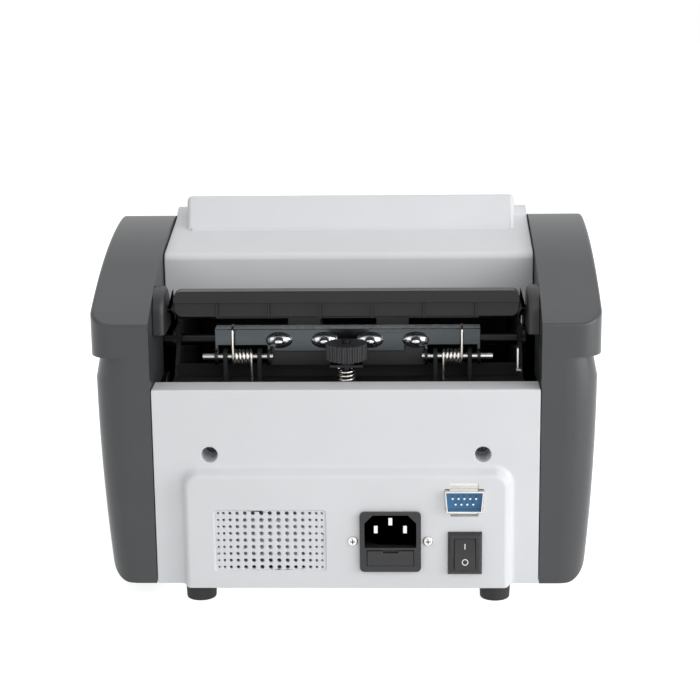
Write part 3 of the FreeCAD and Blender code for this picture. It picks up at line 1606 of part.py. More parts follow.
def drive():
    """The motor, its pulley, and the belts that turn the three shafts."""
    feed, transport, wheels = DRIVEN
    motor = (MOTOR_Y, MOTOR_Z)
    can_end = D.plate_half - D.motor_length
    node("drive_motor", rod("motor_can", "x", D.motor_radius, can_end, D.plate_half, motor))
    node("motor_pulley", fuse(
        "motor_pulley_body",
        rod("motor_shaft", "x", D.shaft_radius, D.plate_half + D.play, lane(1), motor),
        rod("motor_wheel", "x", D.motor_pulley_radius, lane(0), lane(1), motor),
    ))
    belts = doc.addObject("Part::Feature", "belts")
    belts.Shape = Part.makeCompound([
        belt(motor, D.motor_pulley_radius, transport, D.pulley_radius, 0),
        belt(transport, D.pulley_radius, feed, D.pulley_radius, 1),
        belt(transport, D.pulley_radius, wheels, D.stacker_pulley, 2),
    ])
    node("drive_belts", belts)


# Electrics

def power_inlet():
    """The mains socket with its blades, and the fuse drawer under its mouth."""
    centre = D.socket_centre
    middle = above(D.socket_height)
    margin = 2 * D.socket_corner
    flange = prism("socket_flange_plate", "XZ_Plane", REAR, MOUTH_FACE, rounded_outline(
        *span(centre, D.socket_width), *span(middle, D.socket_tall), D.socket_corner))
    housing = box("socket_housing", span(centre, D.socket_width - margin),
                  (REAR - D.socket_depth, REAR + SPARE), span(middle, D.socket_tall - margin))
    left, right = span(centre, D.socket_mouth_width)
    mouth_z = middle + D.socket_mouth_rise
    low, high = span(mouth_z, D.socket_mouth_tall)
    chamfer = D.socket_mouth_chamfer
    bottom = MOUTH_FACE - D.socket_mouth_depth
    mouth = prism("socket_mouth", "XZ_Plane", bottom, MOUTH_FACE + SPARE, [
        (left, low), (right, low), (right, high - chamfer), (right - chamfer, high), (left + chamfer, high),
        (left, high - chamfer),
    ])
    fuse_z = middle - D.fuse_drop
    well = box("fuse_well", span(centre, D.fuse_width + 2 * D.play),
               (MOUTH_FACE - D.fuse_depth - D.play, MOUTH_FACE + SPARE),
               span(fuse_z, D.fuse_tall + 2 * D.play))
    node("power_inlet", cut("socket_body", fuse("socket_blank", flange, housing), mouth, well))
    blades = []
    for index, rise in ((-1, 0), (0, D.blade_earth_rise), (1, 0)):
        place = centre + index * D.blade_pitch / 2
        blades.append(box(f"blade_{index + 1}", span(place, D.blade_width),
                          (bottom, bottom + D.blade_length), span(mouth_z + rise, D.blade_tall)))
    node("inlet_pins", group("blades", *blades))
    drawer = box("fuse_block", span(centre, D.fuse_width),
                 (MOUTH_FACE - D.fuse_depth, MOUTH_FACE + D.play * 2), span(fuse_z, D.fuse_tall))
    notch = box("fuse_notch", span(centre, D.fuse_width / 3), (MOUTH_FACE - SPARE, MOUTH_FACE + SPARE),
                (fuse_z + D.fuse_tall / 2 - SPARE, fuse_z + D.fuse_tall / 2 + SPARE))
    node("fuse_drawer", cut("fuse_drawer_body", drawer, notch))


def serial_port():
    """A nine-pin connector: metal shell, flange and pins, and the insert that holds them."""
    behind = REAR - D.shell_wall
    front = REAR + D.serial_proud
    floor = behind + SPARE
    shell = cut(
        "serial_can",
        fuse("serial_can_blank",
             prism("serial_can_outer", "XZ_Plane", behind - SPARE, front, serial_outline(D.serial_sheet)),
             box("serial_flange", span(D.serial_centre, D.serial_flange_width), (behind - SPARE, behind),
                 span(above(D.serial_height), D.serial_flange_tall))),
        prism("serial_can_inner", "XZ_Plane", behind - 2 * SPARE, front + SPARE, serial_outline(as_size(0))),
    )
    pitch = D.serial_pin_pitch
    row = D.serial_row_offset
    pins = []
    for count, height in ((5, row), (4, -row)):
        for index in range(count):
            place = (D.serial_centre + (index - (count - 1) / 2) * pitch, above(D.serial_height) + height)
            pins.append(rod(f"serial_pin_{len(pins)}", "y", D.serial_pin_radius, floor, front - SPARE, place))
    node("serial_shell", group("serial_metal", shell, *pins))
    node("serial_insert", prism("serial_insert", "XZ_Plane", behind - 4 * SPARE, floor,
                                serial_outline(as_size(0))))


def power_switch():
    """A rocker switch in a bevelled bezel, resting with its upper end pressed in."""
    centre = D.switch_centre
    middle = above(D.switch_height)
    bezel = prism("switch_bezel_block", "XZ_Plane", REAR, BEZEL, [
        (centre - D.switch_width / 2, middle - D.switch_tall / 2),
        (centre + D.switch_width / 2, middle - D.switch_tall / 2),
        (centre + D.switch_width / 2, middle + D.switch_tall / 2),
        (centre - D.switch_width / 2, middle + D.switch_tall / 2),
    ])
    doc.recompute()
    tip = bezel.Tip
    rim = [f"Edge{index}" for index, edge in enumerate(tip.Shape.Edges, start=1)
           if same(edge.BoundBox.YMin, BEZEL)]
    bevel = bezel.newObject("PartDesign::Chamfer", "switch_bevel_cut")
    bevel.Base = (tip, rim)
    tie(bevel, "Size", D.switch_bevel)
    body = box("switch_body", span(centre, D.switch_width - 4 * D.switch_bevel),
               (REAR - D.switch_depth, REAR + SPARE), span(middle, D.switch_tall - 2 * D.switch_bevel))
    well = box("switch_well", span(centre, D.rocker_width + 2 * D.play),
               (REAR - D.switch_depth / 2, BEZEL + SPARE), span(middle, D.rocker_tall + 4 * D.play))
    node("switch_housing", cut("switch_frame", fuse("switch_blank", bezel, body), well))
    half = D.rocker_tall / 2
    low_x, high_x = span(centre, D.rocker_width)
    node("switch_rocker", prism("rocker", "YZ_Plane", low_x, high_x, [
        (BEZEL + D.rocker_proud, middle - half),
        (BEZEL + D.play, middle),
        (BEZEL - D.rocker_sunk, middle + half),
        (BEZEL - D.rocker_depth, middle + D.rocker_back),
        (BEZEL - D.rocker_depth, middle - D.rocker_back),
    ]))


def boards():
    """The main board with its larger components, and the transformer behind the vent."""
    sheet_top = BOARD_Z + D.board_wall
    board = box("main_board_sheet", (BOARD_LEFT, BOARD_LEFT + D.board_width),
                (BOARD_FRONT, BOARD_FRONT + D.board_long), (BOARD_Z, sheet_top))
    parts = [
        rod("capacitor_large", "z", D.capacitor_radius, sheet_top, sheet_top + D.capacitor_tall,
            (BOARD_LEFT + D.capacitor_across, BOARD_FRONT + D.capacitor_along)),
        rod("capacitor_small", "z", D.small_capacitor_radius, sheet_top, sheet_top + D.small_capacitor_tall,
            (BOARD_LEFT + D.small_capacitor_across, BOARD_FRONT + D.small_capacitor_along)),
        box("heat_sink", span(BOARD_LEFT + D.sink_across, D.sink_width),
            span(BOARD_FRONT + D.sink_along, D.sink_deep), (sheet_top, sheet_top + D.sink_tall)),
        box("processor", span(BOARD_LEFT + D.processor_across, D.processor_width),
            span(BOARD_FRONT + D.processor_along, D.processor_width),
            (sheet_top, sheet_top + D.processor_tall)),
        box("board_plug", span(BOARD_LEFT + D.plug_across, D.plug_width),
            span(BOARD_FRONT + D.plug_along, D.plug_deep), (sheet_top, sheet_top + D.plug_tall)),
    ]
    node("main_board", group("main_board_set", board, *parts))
    rear = PANEL_INNER - D.board_standoff
    front = rear - D.transformer_deep
    core = box("transformer_core", span(D.vent_centre, D.transformer_width), (front, rear),
               (FLOOR_TOP, FLOOR_TOP + D.transformer_tall))
    winding = box("transformer_winding", span(D.vent_centre, D.winding_width),
                  (front - D.winding_proud, rear + D.winding_proud),
                  span(FLOOR_TOP + D.transformer_tall / 2, D.winding_tall))
    node("transformer", fuse("transformer_body", core, winding))


def rear_screws():
    """Two panel screws at the bottom of their holes, and two that hold the inlet."""
    screws = []
    for side in (-1, 1):
        place = (side * D.panel_screw_spacing / 2, above(D.panel_screw_height))
        deep = PANEL - D.panel_screw_depth
        screws.append(fuse(
            f"panel_screw_{side + 1}",
            rod(f"panel_screw_head_{side + 1}", "y", D.panel_screw_hole / 2 - 2 * D.play,
                deep, deep + 2 * SPARE, place),
            rod(f"panel_screw_shank_{side + 1}", "y", D.retard_screw_radius, deep - 2 * D.shell_wall,
                deep + SPARE, place)))
        place = (D.socket_centre + side * D.inlet_screw_spacing / 2, above(D.socket_height))
        screws.append(fuse(
            f"inlet_screw_{side + 1}",
            rod(f"inlet_screw_top_{side + 1}", "y", D.inlet_screw_head, REAR, REAR + SPARE, place),
            rod(f"inlet_screw_shank_{side + 1}", "y", D.retard_screw_radius, REAR - 2 * D.shell_wall,
                REAR + SPARE / 2, place)))
    node("rear_screws", group("screws", *screws))


# The whole machine

side_covers()
rear_panel()
top_cover()
front_console()
stacker()
base()
chassis()
crossmember()
hopper()
torsion_springs()
compression_spring()
gap_bracket()
gap_screw()
feed_line()
stacker_wheels()
drive()
power_inlet()
serial_port()
power_switch()
boards()
rear_screws()
doc.recompute()

for item in doc.Objects:
    if "Invalid" in item.State or "Error" in item.State:
        raise RuntimeError(f"{item.Label} did not build")
for item in NODES:
    if item.Shape.isNull() or not item.Shape.isValid() or not item.Shape.Solids:
        raise RuntimeError(f"{item.Label} has no valid solid")
os.makedirs("parts", exist_ok=True)
for item in NODES:
    item.Shape.exportStep(f"parts/{item.Label}.step")
print(f"{len(NODES)} pieces")
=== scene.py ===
import bmesh
import bpy
import json
import math
from mathutils import Matrix, Vector


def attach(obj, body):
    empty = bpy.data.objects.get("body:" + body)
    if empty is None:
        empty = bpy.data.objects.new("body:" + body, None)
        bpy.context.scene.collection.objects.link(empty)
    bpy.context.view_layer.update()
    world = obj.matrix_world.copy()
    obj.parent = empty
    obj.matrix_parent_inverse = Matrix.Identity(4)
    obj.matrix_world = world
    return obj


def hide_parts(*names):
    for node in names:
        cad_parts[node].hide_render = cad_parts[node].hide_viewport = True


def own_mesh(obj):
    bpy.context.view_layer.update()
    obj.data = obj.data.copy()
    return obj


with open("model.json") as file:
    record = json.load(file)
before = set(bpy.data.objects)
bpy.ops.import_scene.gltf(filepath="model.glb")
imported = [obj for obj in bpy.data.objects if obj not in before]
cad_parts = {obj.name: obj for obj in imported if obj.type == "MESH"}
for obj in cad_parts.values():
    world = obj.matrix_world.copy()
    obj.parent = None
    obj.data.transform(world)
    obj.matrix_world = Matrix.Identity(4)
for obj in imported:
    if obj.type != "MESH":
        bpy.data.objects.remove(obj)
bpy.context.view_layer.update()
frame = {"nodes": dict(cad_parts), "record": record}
nodes = frame["nodes"]
scene = bpy.context.scene
scene.view_settings.view_transform = "Standard"

# Places and sizes are in millimetres unless a comment says otherwise

MM = 0.001


# Camera, set where the photograph was taken from

FOCAL_PIXELS = 1850
IMAGE_PIXELS = 700
SENSOR = 36
PITCH = math.radians(14.17)
YAW = math.radians(-1.92)
ROLL = math.radians(-0.65)
EYE = Vector((-30.7, 948.6, 337.2)) * MM


def make_camera():
    """A camera behind the machine, a little above it."""
    forward = Vector((-math.sin(YAW) * math.cos(PITCH), -math.cos(YAW) * math.cos(PITCH), -math.sin(PITCH)))
    level = Vector((-math.cos(YAW), math.sin(YAW), 0))
    upright = level.cross(forward)
    right = level * math.cos(ROLL) + upright * math.sin(ROLL)
    up = right.cross(forward)
    data = bpy.data.cameras.new("camera")
    data.sensor_width = SENSOR
    data.lens = SENSOR * FOCAL_PIXELS / IMAGE_PIXELS
    camera = bpy.data.objects.new("camera", data)
    turn = Matrix((right, up, -forward)).transposed().to_4x4()
    camera.matrix_world = Matrix.Translation(EYE) @ turn
    scene.collection.objects.link(camera)
    scene.camera = camera


# Studio, in metres and watts

WHITE = (1.0, 1.0, 1.0, 1.0)
SURROUND_LIGHT = 0.45
SURROUND_SEEN = 1.0
FLOOR_SIZE = 6
FLOOR_COLOUR = (0.82, 0.82, 0.82, 1.0)
FLOOR_ROUGHNESS = 0.9
FLOOR_GLOW = 0.74
LAMP_TARGET = Vector((0, 0.03, 0.09))
LAMPS = (
    {"name": "key_lamp", "place": (-0.55, 1.25, 0.75), "size": 0.9, "watts": 4.2},
    {"name": "side_lamp", "place": (-0.95, 0.42, 0.35), "size": 0.75, "watts": 6.0},
    {"name": "fill_lamp", "place": (0.95, 1.0, 0.65), "size": 0.9, "watts": 1.6},
    {"name": "top_lamp", "place": (0.0, -0.25, 1.5), "size": 1.2, "watts": 3.0},
)


def white_for_camera(tree, lighting, seen):
    """Mix two shaders so that the camera, mirrors and clear pieces see the second one."""
    path = tree.nodes.new("ShaderNodeLightPath")
    glossy = tree.nodes.new("ShaderNodeMath")
    glossy.operation = "MAXIMUM"
    both = tree.nodes.new("ShaderNodeMath")
    both.operation = "MAXIMUM"
    mix = tree.nodes.new("ShaderNodeMixShader")
    tree.links.new(path.outputs["Is Camera Ray"], glossy.inputs[0])
    tree.links.new(path.outputs["Is Glossy Ray"], glossy.inputs[1])
    tree.links.new(glossy.outputs[0], both.inputs[0])
    tree.links.new(path.outputs["Is Transmission Ray"], both.inputs[1])
    tree.links.new(both.outputs[0], mix.inputs[0])
    tree.links.new(lighting.outputs[0], mix.inputs[1])
    tree.links.new(seen.outputs[0], mix.inputs[2])
    return mix


def make_surround():
    """An even white surround that lights the machine less than it shows."""
    world = bpy.data.worlds.new("surround")
    scene.world = world
    world.use_nodes = True
    tree = world.node_tree
    dim = tree.nodes["Background"]
    dim.inputs["Color"].default_value = WHITE
    dim.inputs["Strength"].default_value = SURROUND_LIGHT
    seen = tree.nodes.new("ShaderNodeBackground")
    seen.inputs["Color"].default_value = WHITE
    seen.inputs["Strength"].default_value = SURROUND_SEEN
    mix = white_for_camera(tree, dim, seen)
    tree.links.new(mix.outputs[0], tree.nodes["World Output"].inputs["Surface"])


def make_floor():
    """A pale floor, lifted towards white where the camera sees it."""
    bpy.ops.mesh.primitive_plane_add(size=FLOOR_SIZE, location=(0, 0, 0))
    floor = bpy.context.object
    floor.name = "floor"
    material = bpy.data.materials.new("floor_white")
    material.use_nodes = True
    tree = material.node_tree
    plain = tree.nodes["Principled BSDF"]
    plain.inputs["Base Color"].default_value = FLOOR_COLOUR
    plain.inputs["Roughness"].default_value = FLOOR_ROUGHNESS
    glow = tree.nodes.new("ShaderNodeEmission")
    glow.inputs["Strength"].default_value = FLOOR_GLOW
    lifted = tree.nodes.new("ShaderNodeAddShader")
    tree.links.new(plain.outputs[0], lifted.inputs[0])
    tree.links.new(glow.outputs[0], lifted.inputs[1])
    mix = white_for_camera(tree, plain, lifted)
    tree.links.new(mix.outputs[0], tree.nodes["Material Output"].inputs["Surface"])
    floor.data.materials.append(material)


def make_lamps():
    """Soft lamps that look at the middle of the machine."""
    for row in LAMPS:
        data = bpy.data.lights.new(row["name"], "AREA")
        data.size = row["size"]
        data.energy = row["watts"]
        lamp = bpy.data.objects.new(row["name"], data)
        lamp.location = row["place"]
        lamp.rotation_euler = (LAMP_TARGET - lamp.location).to_track_quat("-Z", "Y").to_euler()
        scene.collection.objects.link(lamp)


# Materials

DRIFT_SCALE = 38
DRIFT_DETAIL = 5
DRIFT_LOW = 0.3
DRIFT_HIGH = 0.7
SPECKLE_DETAIL = 3
ROUGHNESS_DRIFT = 0.07
SMOOTHEST = 0.02
RELIEF_SHARE = 0.3
EVEN = (1, 1, 1)
BRUSHED_ALONG = (0.12, 1, 1)
TURNED = (1, 0.2, 1)


def surface(name, colour, rough, grain, bump, tone=0.06, metallic=0.0, stretch=EVEN, specular=0.5):
    """A procedural finish: colour and roughness drift over the surface and a fine grain raises it.

    grain is the size of the grain in millimetres, and stretch draws it out into brush marks.
    """
    material = bpy.data.materials.new(name)
    material.use_nodes = True
    tree = material.node_tree
    make = tree.nodes.new
    join = tree.links.new
    shader = tree.nodes["Principled BSDF"]
    shader.inputs["Metallic"].default_value = metallic
    shader.inputs["Specular IOR Level"].default_value = specular
    place = make("ShaderNodeTexCoord")
    mapping = make("ShaderNodeMapping")
    mapping.inputs["Scale"].default_value = stretch
    join(place.outputs["Object"], mapping.inputs["Vector"])

    drift = make("ShaderNodeTexNoise")
    drift.inputs["Scale"].default_value = DRIFT_SCALE
    drift.inputs["Detail"].default_value = DRIFT_DETAIL
    join(mapping.outputs["Vector"], drift.inputs["Vector"])
    ramp = make("ShaderNodeValToRGB")
    darker, lighter = ramp.color_ramp.elements
    darker.position = DRIFT_LOW
    lighter.position = DRIFT_HIGH
    darker.color = [part * (1 - tone) for part in colour] + [1]
    lighter.color = [min(1.0, part * (1 + tone)) for part in colour] + [1]
    join(drift.outputs["Fac"], ramp.inputs["Fac"])
    join(ramp.outputs["Color"], shader.inputs["Base Color"])

    speckle = make("ShaderNodeTexNoise")
    speckle.inputs["Scale"].default_value = 1 / (grain * MM)
    speckle.inputs["Detail"].default_value = SPECKLE_DETAIL
    join(mapping.outputs["Vector"], speckle.inputs["Vector"])
    spread = make("ShaderNodeMapRange")
    spread.inputs["To Min"].default_value = max(SMOOTHEST, rough - ROUGHNESS_DRIFT)
    spread.inputs["To Max"].default_value = min(1.0, rough + ROUGHNESS_DRIFT)
    join(speckle.outputs["Fac"], spread.inputs["Value"])
    join(spread.outputs["Result"], shader.inputs["Roughness"])
    relief = make("ShaderNodeBump")
    relief.inputs["Strength"].default_value = bump
    relief.inputs["Distance"].default_value = grain * MM * RELIEF_SHARE
    join(speckle.outputs["Fac"], relief.inputs["Height"])
    join(relief.outputs["Normal"], shader.inputs["Normal"])
    return material


FINISH = {
    "casing_grey": surface("casing_grey", (0.74, 0.755, 0.775), 0.46, 0.35, 0.14, tone=0.015),
    "cover_grey": surface("cover_grey", (0.045, 0.049, 0.052), 0.33, 0.4, 0.1, tone=0.05),
    "gloss_black": surface("gloss_black", (0.012, 0.012, 0.013), 0.25, 0.5, 0.06, tone=0.1, specular=0.3),
    "black_plastic": surface("black_plastic", (0.016, 0.016, 0.018), 0.42, 0.3, 0.16, tone=0.12),
    "bay_black": surface("bay_black", (0.012, 0.012, 0.013), 0.6, 0.5, 0.1, tone=0.15, specular=0.3),
    "key_plastic": surface("key_plastic", (0.5, 0.52, 0.55), 0.4, 0.3, 0.1, tone=0.03),
    "rubber_black": surface("rubber_black", (0.02, 0.02, 0.02), 0.72, 0.25, 0.3, tone=0.12),
    "zinc_plate": surface("zinc_plate", (0.70, 0.72, 0.73), 0.26, 0.5, 0.08, tone=0.08, metallic=1.0,
                          stretch=BRUSHED_ALONG),
    # The bracket's web: a dark copy of the zinc plate, a painted dark reflection
    "zinc_web_painted_reflection": surface("zinc_web_painted_reflection", (0.075, 0.085, 0.09), 0.24, 0.5, 0.08, tone=0.3, metallic=1.0,
                        stretch=BRUSHED_ALONG),
    "spring_steel": surface("spring_steel", (0.78, 0.74, 0.70), 0.24, 0.3, 0.06, tone=0.06, metallic=1.0),
    "black_oxide": surface("black_oxide", (0.035, 0.035, 0.038), 0.4, 0.4, 0.1, tone=0.15, metallic=1.0),
    "steel": surface("steel", (0.62, 0.62, 0.63), 0.27, 0.3, 0.1, tone=0.06, metallic=1.0, stretch=TURNED),
    "dark_steel": surface("dark_steel", (0.30, 0.29, 0.28), 0.34, 0.3, 0.1, tone=0.1, metallic=1.0),
    "nickel": surface("nickel", (0.72, 0.71, 0.69), 0.2, 0.3, 0.06, tone=0.05, metallic=1.0),
    "port_blue": surface("port_blue", (0.05, 0.2, 0.42), 0.38, 0.25, 0.1, tone=0.08),
    "pulley_plastic": surface("pulley_plastic", (0.72, 0.72, 0.7), 0.45, 0.3, 0.1, tone=0.03),
    "board_green": surface("board_green", (0.03, 0.2, 0.08), 0.38, 0.8, 0.1, tone=0.15),
    "mark_white": surface("mark_white", (0.86, 0.86, 0.86), 0.5, 0.2, 0.05, tone=0.02),
}

# Nodes that wear another finish than their material slot's
OWN_FINISH = {
    "rear_crossmember": "bay_black",
    "chassis_plate_left": "bay_black",
    "chassis_plate_right": "bay_black",
    "tie_rods": "bay_black",
    "feed_rollers": "bay_black",
    "hopper_cheek_left": "black_plastic",
    "hopper_cheek_right": "black_plastic",
    "note_guide": "bay_black",
    "torsion_spring_left": "spring_steel",
    "torsion_spring_right": "spring_steel",
    "gap_spring": "spring_steel",
    # The bracket's web wears a painted dark reflection
    "gap_bracket": "zinc_web_painted_reflection",
    "gap_washer": "black_oxide",
    "gap_stud": "black_oxide",
    "feed_shaft": "black_oxide",
    "shaft_bearings": "black_oxide",
}
slot_of = {row["node"]: row["material_slot"] for row in frame["record"]["subparts"]}
body_of = {node: body for body, members in frame["record"]["behaviour"]["bodies"].items() for node in members}


def finish_of(node):
    """The finish that a node wears."""
    return FINISH[OWN_FINISH.get(node, slot_of[node])]


def paint(item, material):
    """Give an object one finish."""
    item.data.materials.clear()
    item.data.materials.append(material)


# Moulded edges: the width of the rounding on each dressed node, nothing where it only needs smooth shading

DRESSED = {
    "rear_panel": 0.35,
    "top_cover": 0.5,
    "front_console": 0.5,
    "stacker_floor": 0.5,
    "hopper_tray": 0.2,
    "hopper_cheek_left": 0.5,
    "hopper_cheek_right": 0.5,
    "gap_knob": 0.3,
    "fuse_drawer": 0.25,
    "rubber_feet": 0.6,
    "display_window": 0.25,
    "key_start": 0.6,
    "key_mode": 0.6,
    "key_add": 0.6,
    "key_clear": 0.6,
    "stacker_back": 0.3,
    "rear_crossmember": 0.25,
    "serial_shell": 0.12,
    "inlet_pins": 0.25,
    "torsion_spring_left": 0,
    "torsion_spring_right": 0,
}
COVER_ROUNDING = 0.6
BRACKET_ROUNDING = 0.3
ROUNDING_STEPS = 2
CREASE = math.radians(28)
FLAT = math.radians(0.4)
MERGE = 1e-6


def add_piece(name, mesh, finish, body):
    """Link a new piece, give it its finish and the body that it rides on."""
    piece = bpy.data.objects.new(name, mesh)
    scene.collection.objects.link(piece)
    piece.data.materials.append(finish)
    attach(piece, body)
    return piece


def round_edges(piece, width, clamp=False):
    """Round the hard edges of a piece and shade it evenly."""
    bevel = piece.modifiers.new("rounding", "BEVEL")
    bevel.width = width * MM
    bevel.segments = ROUNDING_STEPS
    bevel.limit_method = "ANGLE"
    bevel.angle_limit = CREASE
    bevel.use_clamp_overlap = clamp
    bevel.miter_outer = "MITER_ARC"
    weighted = piece.modifiers.new("shading", "WEIGHTED_NORMAL")
    weighted.keep_sharp = True


def smooth_but_creases(shape):
    """Shade a mesh smooth and keep its hard edges hard."""
    for face in shape.faces:
        face.smooth = True
    for edge in shape.edges:
        edge.smooth = len(edge.link_faces) == 2 and edge.calc_face_angle(0) < CREASE


def mesh_of(shape, name):
    """Turn a built shape into a mesh."""
    smooth_but_creases(shape)
    mesh = bpy.data.meshes.new(name)
    shape.to_mesh(mesh)
    shape.free()
    return mesh


def dress(node, width, reshape=None, clamp=False):
    """Stand a copy of a node in its place, with its hard edges rounded as moulding or bending leaves them."""
    name = node + "_dressed"
    shape = bmesh.new()
    shape.from_mesh(nodes[node].data)
    bmesh.ops.remove_doubles(shape, verts=shape.verts, dist=MERGE)
    bmesh.ops.dissolve_limit(shape, angle_limit=FLAT, verts=shape.verts, edges=shape.edges)
    if reshape:
        reshape(shape)
    piece = add_piece(name, mesh_of(shape, name), finish_of(node), body_of[node])
    if width:
        round_edges(piece, width, clamp=clamp)
    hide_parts(node)
    return piece


# Side covers

SEAM = 92.4
FLANK = 117.3
FLANK_TOP = 119.7
FLANK_FOOT = 114.6
FLANK_BULGE = 1.5
FLANK_STEPS = 10
VISOR_FOOT = 120.5
COVER_FOOT = 8.5


def bow_flank(shape):
    """Bow the side of a cover outwards under its visor and draw it in towards its foot."""
    tall = VISOR_FOOT - COVER_FOOT
    for step in range(1, FLANK_STEPS):
        level = (COVER_FOOT + tall * step / FLANK_STEPS) * MM
        everything = shape.verts[:] + shape.edges[:] + shape.faces[:]
        bmesh.ops.bisect_plane(shape, geom=everything, dist=MERGE, plane_co=(0, 0, level), plane_no=(0, 0, 1))
    for vert in shape.verts:
        share = (vert.co.z / MM - COVER_FOOT) / tall
        reach = abs(vert.co.x) / MM
        if share > 1 + MERGE or reach <= SEAM or reach > FLANK + MERGE:
            continue
        bowed = FLANK_FOOT + (FLANK_TOP - FLANK_FOOT) * share + 4 * FLANK_BULGE * share * (1 - share)
        wide = SEAM + (reach - SEAM) * (bowed - SEAM) / (FLANK - SEAM)
        vert.co.x = math.copysign(wide * MM, vert.co.x)


# Gap adjuster

TAB_Y = 72.0
FLANGE_Z = 124.0
FACING = 0.5
DOME_COUNT = 4
DOME_PITCH = 22.3
DOME_Y = 70.25
DOME_Z = 120.4
DOME_SQUEEZE = 0.62
DOME_PROFILE = [
    (6.6, 0), (6.2, 0.7), (5.2, 1.6), (3.9, 2.4), (2.7, 2.8), (2.4, 3.2), (2.3, 4.4), (1.5, 5.0), (0, 5.2),
]


def bracket_faces(piece):
    """Give the bracket's flange and ears the plain zinc plate and its tab a dark one; the web keeps a much
    darker zinc, which is a painted dark reflection.
    """
    piece.data.materials.append(FINISH["zinc_plate"])
    piece.data.materials.append(FINISH["black_oxide"])
    # Faces that look up or sideways, and the flange top, get the plain zinc; the rest of the web keeps its
    # painted dark reflection
    for face in piece.data.polygons:
        if face.center.y > TAB_Y * MM:
            face.material_index = 2
        elif face.normal.z > FACING or abs(face.normal.x) > FACING or face.center.z > FLANGE_Z * MM:
            face.material_index = 1


def press_spring(piece):
    """Give the spring under the knob a mesh of its own."""
    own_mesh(piece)


# Shapes that the small fittings are made of

ROUND_SIDES = 40
RING_SIDES = 32


def around(sides):
    """The angles of the corners of a round shape."""
    return [2 * math.pi * index / sides for index in range(sides)]


def round_point(place, radius, turn, level):
    """A point on a circle around a place's own Z."""
    return place @ Vector((radius * MM * math.cos(turn), radius * MM * math.sin(turn), level * MM))


def ring(shape, radius, inner, depth, place):
    """A flat ring, raised by its depth along its own Z."""
    rows = []
    for level in (0, depth):
        rows.append([
            [shape.verts.new(round_point(place, size, turn, level)) for turn in around(RING_SIDES)]
            for size in (radius, inner)
        ])
    (low_out, low_in), (high_out, high_in) = rows
    for index in range(RING_SIDES):
        after = (index + 1) % RING_SIDES
        shape.faces.new((high_out[index], high_out[after], high_in[after], high_in[index]))
        shape.faces.new((low_out[after], low_out[index], low_in[index], low_in[after]))
        shape.faces.new((low_out[index], low_out[after], high_out[after], high_out[index]))
        shape.faces.new((low_in[after], low_in[index], high_in[index], high_in[after]))


def slab(shape, size, place):
    """A block centred on a place."""
    bmesh.ops.create_cube(shape, size=1, matrix=place @ Matrix.Diagonal((Vector(size) * MM).to_4d()))


def lathe(shape, profile, place):
    """A round solid from pairs of radius and height."""
    loops = []
    for radius, level in profile:
        if radius == 0:
            loops.append([shape.verts.new(place @ Vector((0, 0, level * MM)))])
            continue
        loops.append([shape.verts.new(round_point(place, radius, turn, level)) for turn in around(ROUND_SIDES)])
    for first, second in zip(loops, loops[1:]):
        for index in range(ROUND_SIDES):
            after = (index + 1) % ROUND_SIDES
            corners = [first[index % len(first)], first[after % len(first)],
                       second[after % len(second)], second[index % len(second)]]
            kept = [corner for spot, corner in enumerate(corners) if corner not in corners[:spot]]
            shape.faces.new(kept)


def face_frame(origin, normal):
    """A frame on a face that looks rearwards: local Z leaves the face and local Y points up along it."""
    out = Vector(normal).normalized()
    across = Vector((-1, 0, 0))
    up = out.cross(across)
    return Matrix.Translation(Vector(origin) * MM) @ Matrix((across, up, out)).transposed().to_4x4()


# Small fittings that the photograph shows

REARWARDS = (0, 1, 0)
BEZEL_Y = 117.2
ROCKER_X = -56.5
ROCKER_Z = 26.7
ROCKER_HALF = 7.2
ROCKER_PROUD = 2.6
ROCKER_HOLLOW = 0.3
ROCKER_SUNK = -1.4
MARK_BAR = (0.5, 2.6, 0.08)
MARK_RADIUS = 1.55
MARK_INNER = 1.1
MARK_RAISE = 0.05

PANEL_SCREW_X = 65.1
PANEL_SCREW_Y = 93.5
PANEL_SCREW_Z = 73.6
PANEL_SCREW_RADIUS = 3.2
INLET_X = -21
INLET_SCREW_REACH = 17.95
INLET_SCREW_Y = 115.0
INLET_SCREW_Z = 32.5
INLET_SCREW_RADIUS = 2.4
SHANK_RADIUS = 1.4
SHANK_LENGTH = 3
HEAD_PROFILE = [(1, 0), (1, 0.5), (0.8, 0.95), (0.4, 1.2), (0, 1.25)]
# A screw's black cross is painted shade standing in for its cross recess
CROSS_LEVEL = 1.22
CROSS_DEPTH = 0.1
CROSS_SHARE = 0.2

CLIP_ARM_SIZE = (1.0, 5.0, 11.0)
CLIP_ARM_PLACE = (-82.6, 80.0, 113.5)
CLIP_FOOT_SIZE = (2.6, 5.0, 1.0)
CLIP_FOOT_PLACE = (-83.2, 80.0, 108.0)
CLIP_ROUNDING = 0.2


def rocker_marks():
    """The two switch marks: a bar on the upper half and a ring on the lower half."""
    upper = face_frame((ROCKER_X, BEZEL_Y + (ROCKER_HOLLOW + ROCKER_SUNK) / 2, ROCKER_Z + ROCKER_HALF / 2),
                       (0, ROCKER_HALF, ROCKER_HOLLOW - ROCKER_SUNK))
    lower = face_frame((ROCKER_X, BEZEL_Y + (ROCKER_HOLLOW + ROCKER_PROUD) / 2, ROCKER_Z - ROCKER_HALF / 2),
                       (0, ROCKER_HALF, ROCKER_PROUD - ROCKER_HOLLOW))
    shape = bmesh.new()
    slab(shape, MARK_BAR, upper)
    ring(shape, MARK_RADIUS, MARK_INNER, MARK_RAISE, lower)
    mesh = mesh_of(shape, "rocker_marks")
    add_piece("rocker_marks", mesh, FINISH["mark_white"], "rocker")


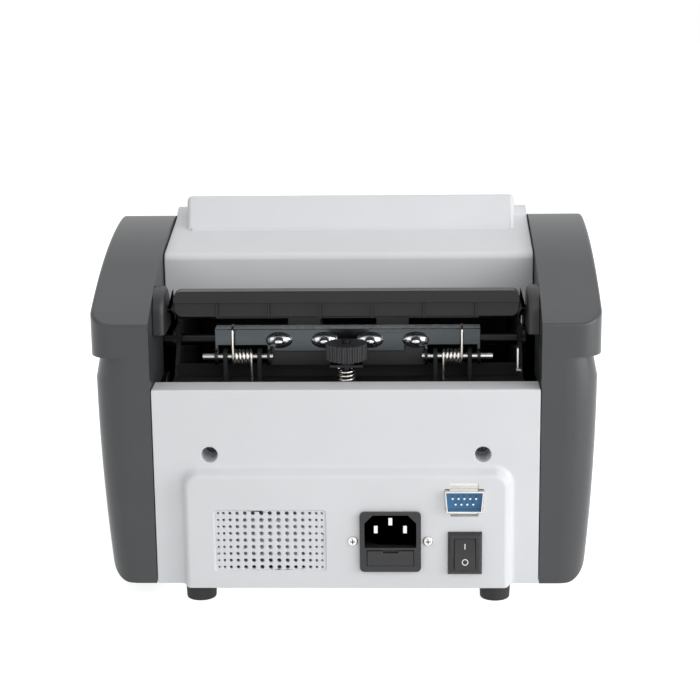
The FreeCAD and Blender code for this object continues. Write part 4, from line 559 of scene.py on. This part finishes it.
def screw(index, name, spot, radius, finish):
    """A pan-head screw on a seat that looks rearwards, with a thin black cross on its head as painted shade of
    its cross recess.
    """
    place = face_frame(spot, REARWARDS)
    shape = bmesh.new()
    shank = [(0, -SHANK_LENGTH), (SHANK_RADIUS, -SHANK_LENGTH), (SHANK_RADIUS, 0)]
    head = [(radius * share, level) for share, level in HEAD_PROFILE]
    lathe(shape, shank + head, place)
    piece = add_piece(f"{name}_{index}", mesh_of(shape, name), FINISH[finish], "chassis")
    # The thin black cross laid on the head is painted shade of the recess, not a cut
    shape = bmesh.new()
    top = place @ Matrix.Translation((0, 0, CROSS_LEVEL * MM))
    slab(shape, (radius, radius * CROSS_SHARE, CROSS_DEPTH), top)
    slab(shape, (radius * CROSS_SHARE, radius, CROSS_DEPTH), top)
    mesh = mesh_of(shape, name + "_cross_painted_shade")
    add_piece(f"{name}_cross_painted_shade_{index}", mesh, FINISH["bay_black"], "chassis")
    return piece


def screws():
    """Two screws deep in the panel's holes and two that hold the inlet."""
    seats = []
    for side in (-1, 1):
        seats.append(("panel_screw", (side * PANEL_SCREW_X, PANEL_SCREW_Y, PANEL_SCREW_Z), PANEL_SCREW_RADIUS,
                      "dark_steel"))
        seats.append(("inlet_screw", (INLET_X + side * INLET_SCREW_REACH, INLET_SCREW_Y, INLET_SCREW_Z),
                      INLET_SCREW_RADIUS, "nickel"))
    made = [screw(index, *seat) for index, seat in enumerate(seats)]
    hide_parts("rear_screws")


def bracket_domes():
    """Pressed domes with a nub, where the retard block is held to the bracket."""
    for index in range(DOME_COUNT):
        across = (index - (DOME_COUNT - 1) / 2) * DOME_PITCH
        place = face_frame((across, DOME_Y, DOME_Z), REARWARDS) @ Matrix.Diagonal((1, DOME_SQUEEZE, 1, 1))
        shape = bmesh.new()
        lathe(shape, DOME_PROFILE, place)
        add_piece(f"bracket_dome_{index}", mesh_of(shape, "bracket_dome"), FINISH["zinc_plate"], "gap_arm")


def latch_clip():
    """The bright bent clip at one end of the bay."""
    shape = bmesh.new()
    slab(shape, CLIP_ARM_SIZE, Matrix.Translation(Vector(CLIP_ARM_PLACE) * MM))
    slab(shape, CLIP_FOOT_SIZE, Matrix.Translation(Vector(CLIP_FOOT_PLACE) * MM))
    mesh = mesh_of(shape, "latch_clip")
    piece = add_piece("latch_clip", mesh, FINISH["zinc_plate"], "chassis")
    round_edges(piece, CLIP_ROUNDING)


make_camera()
make_surround()
make_floor()
make_lamps()
for name, item in nodes.items():
    paint(item, finish_of(name))
for name, width in DRESSED.items():
    dress(name, width)
for side in ("left", "right"):
    dress("side_cover_" + side, COVER_ROUNDING, bow_flank, clamp=True)
bracket_faces(dress("gap_bracket", BRACKET_ROUNDING))
press_spring(dress("gap_spring", 0))
rocker_marks()
screws()
bracket_domes()
latch_clip()
